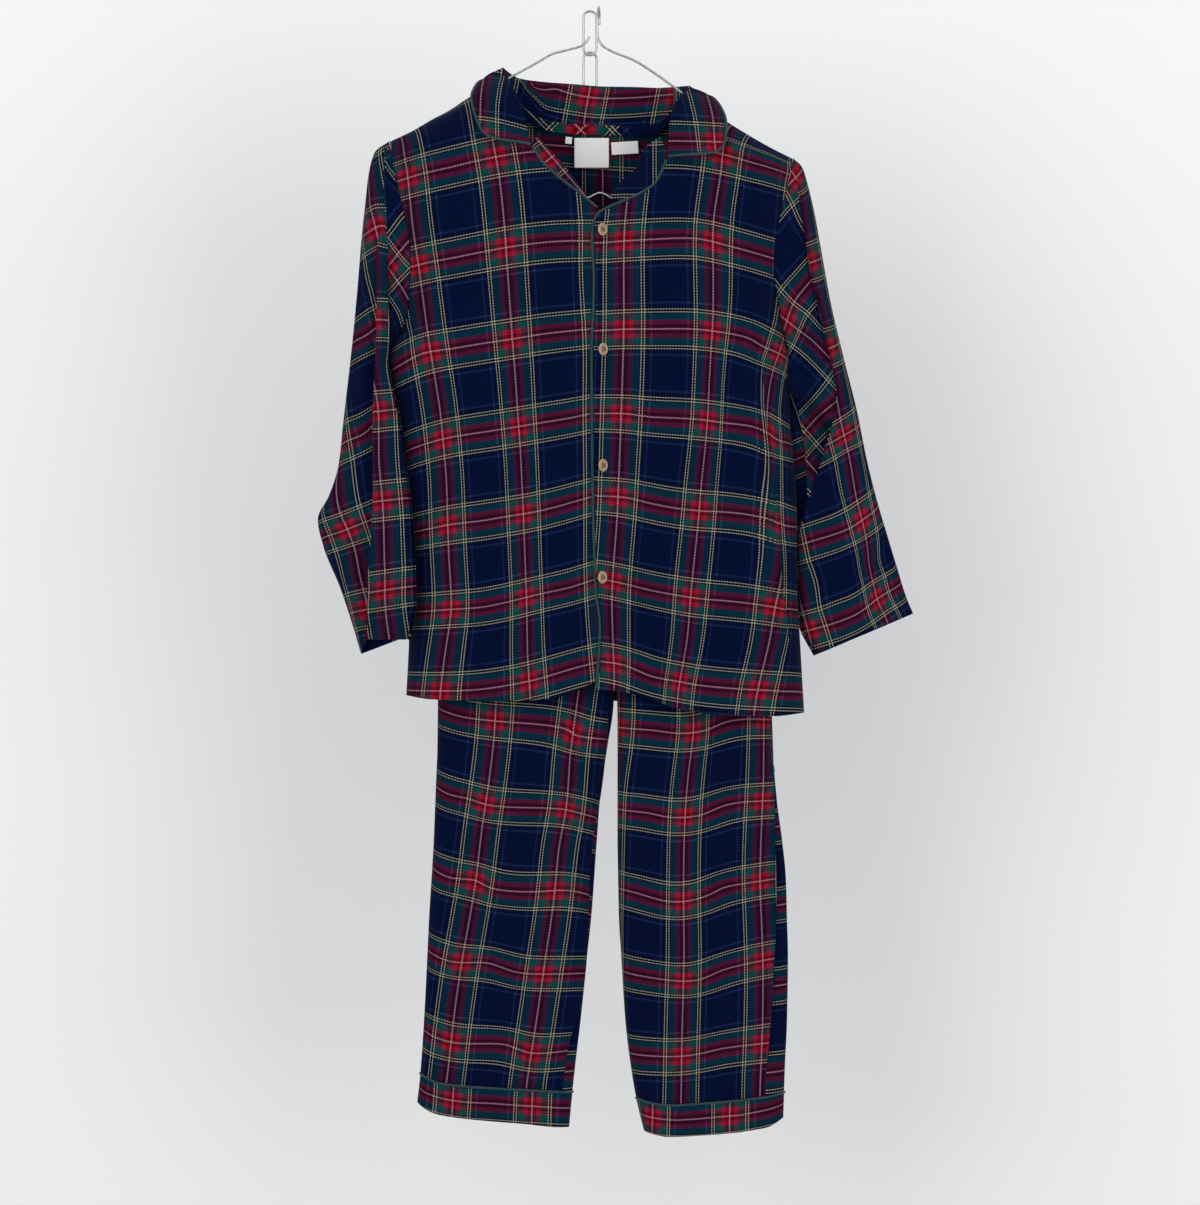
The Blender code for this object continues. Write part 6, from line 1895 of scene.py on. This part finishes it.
def shader_of(name, roughness, **sockets):
    mat = bpy.data.materials.new(name)
    mat.use_nodes = True
    shader = mat.node_tree.nodes["Principled BSDF"]
    shader.inputs["Roughness"].default_value = roughness
    for label, value in sockets.items():
        shader.inputs[label.replace("_", " ")].default_value = value
    return mat, mat.node_tree, shader


def flannel(name):
    """One cloth piece's own flannel; its map says where it was cut."""
    mat, tree, shader = shader_of(name, 0.92, Sheen_Weight=0.03, Sheen_Roughness=0.5,
                                  Specular_IOR_Level=0.015)
    place = node(tree, "ShaderNodeUVMap", uv_map="Sett")
    woven = node(tree, "ShaderNodeGroup", node_tree=check)
    tree.links.new(place.outputs[0], woven.inputs["Sett"])
    for label, value in FLANNEL.items():
        woven.inputs[label].default_value = value
    tree.links.new(woven.outputs["Colour"], shader.inputs["Base Color"])
    rib = maths(tree, "MULTIPLY", woven.outputs["Twill"], 0.35)
    relief(tree, maths(tree, "ADD", rib, woven.outputs["Nap"]), 0.35, 0.0004, shader)
    return mat


print("flannel:", FLANNEL)

# %% [markdown]
# ## Piping and labels
# Piping is plain dyed cotton with a fine weave, and so are the labels and the button thread. Their
# ribs and slight change of shade are one node group, set finer or coarser in each material.

# %% Plain cotton
cotton, start, end = group("Fine cotton", [(VECTOR, "Place", None), (FLOAT, "Scale", 900.0)],
                           [(FLOAT, "Shade"), (FLOAT, "Height")])
shade = noise(cotton, start.outputs["Place"], start.outputs["Scale"], 4.0)
ribs = node(cotton, "ShaderNodeTexWave", bands_direction="DIAGONAL")
ribs.inputs["Distortion"].default_value = 1.5
cotton.links.new(start.outputs["Place"], ribs.inputs["Vector"])
cotton.links.new(maths(cotton, "MULTIPLY", start.outputs["Scale"], 1.1), ribs.inputs["Scale"])
cotton.links.new(shade, end.inputs["Shade"])
cotton.links.new(maths(cotton, "ADD", ribs.outputs[1], shade), end.inputs["Height"])


def sewn(name, colour, paler, scale):
    """Plain cotton of one colour."""
    mat, tree, shader = shader_of(name, 0.75, Sheen_Weight=0.2, Specular_IOR_Level=0.3)
    place = node(tree, "ShaderNodeTexCoord").outputs["Object"]
    woven = node(tree, "ShaderNodeGroup", node_tree=cotton)
    tree.links.new(place, woven.inputs["Place"])
    woven.inputs["Scale"].default_value = scale
    tree.links.new(mixed(tree, woven.outputs["Shade"], (*colour, 1.0), (*paler, 1.0)),
                   shader.inputs["Base Color"])
    relief(tree, woven.outputs["Height"], 0.3, 0.0002, shader)
    return mat


piped = sewn("piping_cotton", (0.004, 0.030, 0.033), (0.008, 0.050, 0.053), 900.0)
label_tape = sewn("label_tape", (0.66, 0.66, 0.64), (0.80, 0.80, 0.78), 1100.0)
thread_cotton = sewn("button_thread_cotton", (0.025, 0.022, 0.03), (0.06, 0.05, 0.06), 1500.0)
print("cottons:", piped.name, label_tape.name, thread_cotton.name)

# %% [markdown]
# ## Wood and wire
# The buttons show growth rings of pale wood. The wire is bright drawn steel with faint drawing
# marks; the trouser bar is the same steel, blackened.

# %% Wood and steel
def wood(name):
    mat, tree, shader = shader_of(name, 0.5, Specular_IOR_Level=0.4, Coat_Weight=0.15)
    place = node(tree, "ShaderNodeTexCoord")
    rings = node(tree, "ShaderNodeTexWave", wave_type="RINGS", rings_direction="X")
    for label, value in (("Scale", 260.0), ("Distortion", 5.0), ("Detail", 3.0)):
        rings.inputs[label].default_value = value
    tree.links.new(place.outputs["Object"], rings.inputs["Vector"])
    tree.links.new(mixed(tree, rings.outputs[1], (0.33, 0.20, 0.115, 1.0),
                         (0.50, 0.34, 0.205, 1.0)), shader.inputs["Base Color"])
    relief(tree, rings.outputs[1], 0.25, 0.0001, shader)
    return mat


def drawn_wire(name, dark, pale):
    mat, tree, shader = shader_of(name, 0.3, Metallic=1.0)
    marks = noise(tree, node(tree, "ShaderNodeTexCoord").outputs["Object"], 420.0, 5.0)
    tree.links.new(mixed(tree, marks, (*dark, 1.0), (*pale, 1.0)), shader.inputs["Base Color"])
    tree.links.new(smooth_step(tree, marks, 0.3, 0.7, 0.2, 0.42), shader.inputs["Roughness"])
    return mat


pale_wood = wood("pale_wood")
steel = drawn_wire("drawn_steel", (0.30, 0.30, 0.30), (0.62, 0.62, 0.61))
black_steel = drawn_wire("blackened_steel", (0.006, 0.006, 0.007), (0.02, 0.02, 0.022))
print("wood and steel:", pale_wood.name, steel.name, black_steel.name)

# %% [markdown]
# ## Which piece stands for which node
# One table lists every new piece with the CAD node it stands for, a slot and its material; each piece
# gets the material, and the node is hidden.

# %% Join pieces to nodes
#                    slot, its cloth pieces by the name of their CAD node
CLOTHS = {"check_flannel": {"front_left": front_left, "front_right": front_right, "back": back,
                            "facing_right": facing_right},
          "check_flannel_sleeves": {"sleeve_left": sleeve_left, "sleeve_right": sleeve_right},
          "check_flannel_trousers": {"leg_left": leg_left, "leg_right": leg_right,
                                     "cuff_left": cuff_left, "cuff_right": cuff_right,
                                     "waistband": waistband},
          "check_flannel_collar": {"collar": collar},
          "bias_cut_check": {"facing_left": facing_left, "neck_tape": neck_tape}}
PIPINGS = {"piping_front_right": piping_front_right, "piping_front_left": piping_front_left,
           "piping_collar": piping_collar, "piping_cuff_left": piping_cuff_left,
           "piping_cuff_right": piping_cuff_right}
#         piece, CAD node, slot, material
pieces = [(piece, name, slot, flannel("flannel_" + name))
          for slot, group_of in CLOTHS.items() for name, piece in group_of.items()]
pieces += [(piece, name, "green_piping", piped) for name, piece in PIPINGS.items()]
pieces += [(piece, row[0], "white_label", label_tape) for piece, row in zip(labels, LABELS)]
pieces += [(piece, f"button_{k + 1}", "pale_wood_button", pale_wood)
           for k, piece in enumerate(buttons)]
pieces += [(hanger, "hanger_wire", "bright_wire", steel),
           (hook, "trouser_hook", "bright_wire", black_steel),
           (bar, "trouser_bar", "bright_wire", black_steel)]
pieces += [(piece, row[0], "bright_wire", steel) for piece, row in zip(links, CHAIN)]
for piece, name, slot, mat in pieces:
    piece.data.materials.clear()
    piece.data.materials.append(mat)
    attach(piece, "root")
    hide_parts(name)
for thread in stitches:
    thread.data.materials.append(thread_cotton)
    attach(thread, "root")
for name in ("clip_left", "clip_right"):
    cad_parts[name].data.materials.clear()
    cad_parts[name].data.materials.append(black_steel)
print("pieces:", len(pieces), "and", len(stitches), "threads")

# %% [markdown]

# %% [markdown]
# ## Wall, light and camera
# A plain pale wall stands behind, near enough to take a faint soft shadow. It is clear from
# behind, so that the back of the set can be looked at too.

# %% Wall
WALL_Y = 420.0
bpy.ops.mesh.primitive_plane_add(size=8.0, location=(0.0, WALL_Y * MM, -0.55),
                                 rotation=(np.pi / 2, 0.0, 0.0))
wall = bpy.context.object
wall.name = "pale_wall"
mat, tree, shader = shader_of("wall_paint", 0.9)
place = node(tree, "ShaderNodeTexCoord")
paint = noise(tree, place.outputs["Object"], 3.0, 2.0)
tree.links.new(mixed(tree, paint, (0.90, 0.90, 0.90, 1.0), (0.92, 0.92, 0.92, 1.0)),
               shader.inputs["Base Color"])
clear = node(tree, "ShaderNodeBsdfTransparent")
sides = node(tree, "ShaderNodeMixShader")
tree.links.new(node(tree, "ShaderNodeNewGeometry").outputs["Backfacing"], sides.inputs[0])
tree.links.new(shader.outputs[0], sides.inputs[1])
tree.links.new(clear.outputs[0], sides.inputs[2])
tree.links.new(sides.outputs[0], tree.nodes["Material Output"].inputs[0])
wall.data.materials.append(mat)
print("wall:", WALL_Y, "mm behind the set")

# %% [markdown]
# Two broad soft lights fill from either side and one from above, as in a studio for clothes. The
# camera stands well back and looks level at the middle of the set, so its edges stay straight.

# %% Light and camera
def soft_light(name, place, aim, size, power):
    lamp = bpy.data.lights.new(name, "AREA")
    lamp.shape, lamp.size, lamp.energy = "SQUARE", size, power
    obj = bpy.data.objects.new(name, lamp)
    bpy.context.scene.collection.objects.link(obj)
    obj.location = place
    way = np.array(aim) - np.array(place)
    yaw = np.arctan2(way[0], way[1])
    pitch = np.arctan2(way[2], np.hypot(way[0], way[1]))
    obj.rotation_euler = (np.pi / 2 + pitch, 0.0, -yaw)
    return obj


MIDDLE = (0.0, 0.0, -0.55)
soft_light("key", (-1.7, -2.6, 0.1), MIDDLE, 2.2, 39.0)
soft_light("fill", (1.9, -2.5, -0.5), MIDDLE, 2.2, 35.0)
soft_light("top", (0.0, -1.4, 1.6), MIDDLE, 1.6, 7.0)
world = bpy.data.worlds.new("studio")
bpy.context.scene.world = world
world.use_nodes = True
world.node_tree.nodes["Background"].inputs[0].default_value = (0.95, 0.97, 1.0, 1.0)
world.node_tree.nodes["Background"].inputs[1].default_value = 0.54
view = bpy.data.cameras.new("camera")
view.lens, view.sensor_width, view.sensor_fit = 157.24, 36.0, "AUTO"
view.clip_end = 50.0
camera = bpy.data.objects.new("camera", view)
bpy.context.scene.collection.objects.link(camera)
camera.location = (0.0, -5.0, -0.5686)
camera.rotation_euler = (np.pi / 2, 0.0, 0.0)
bpy.context.scene.camera = camera
bpy.context.scene.view_settings.view_transform = "Standard"
print("lights: 3, lens:", round(view.lens, 1), "mm")
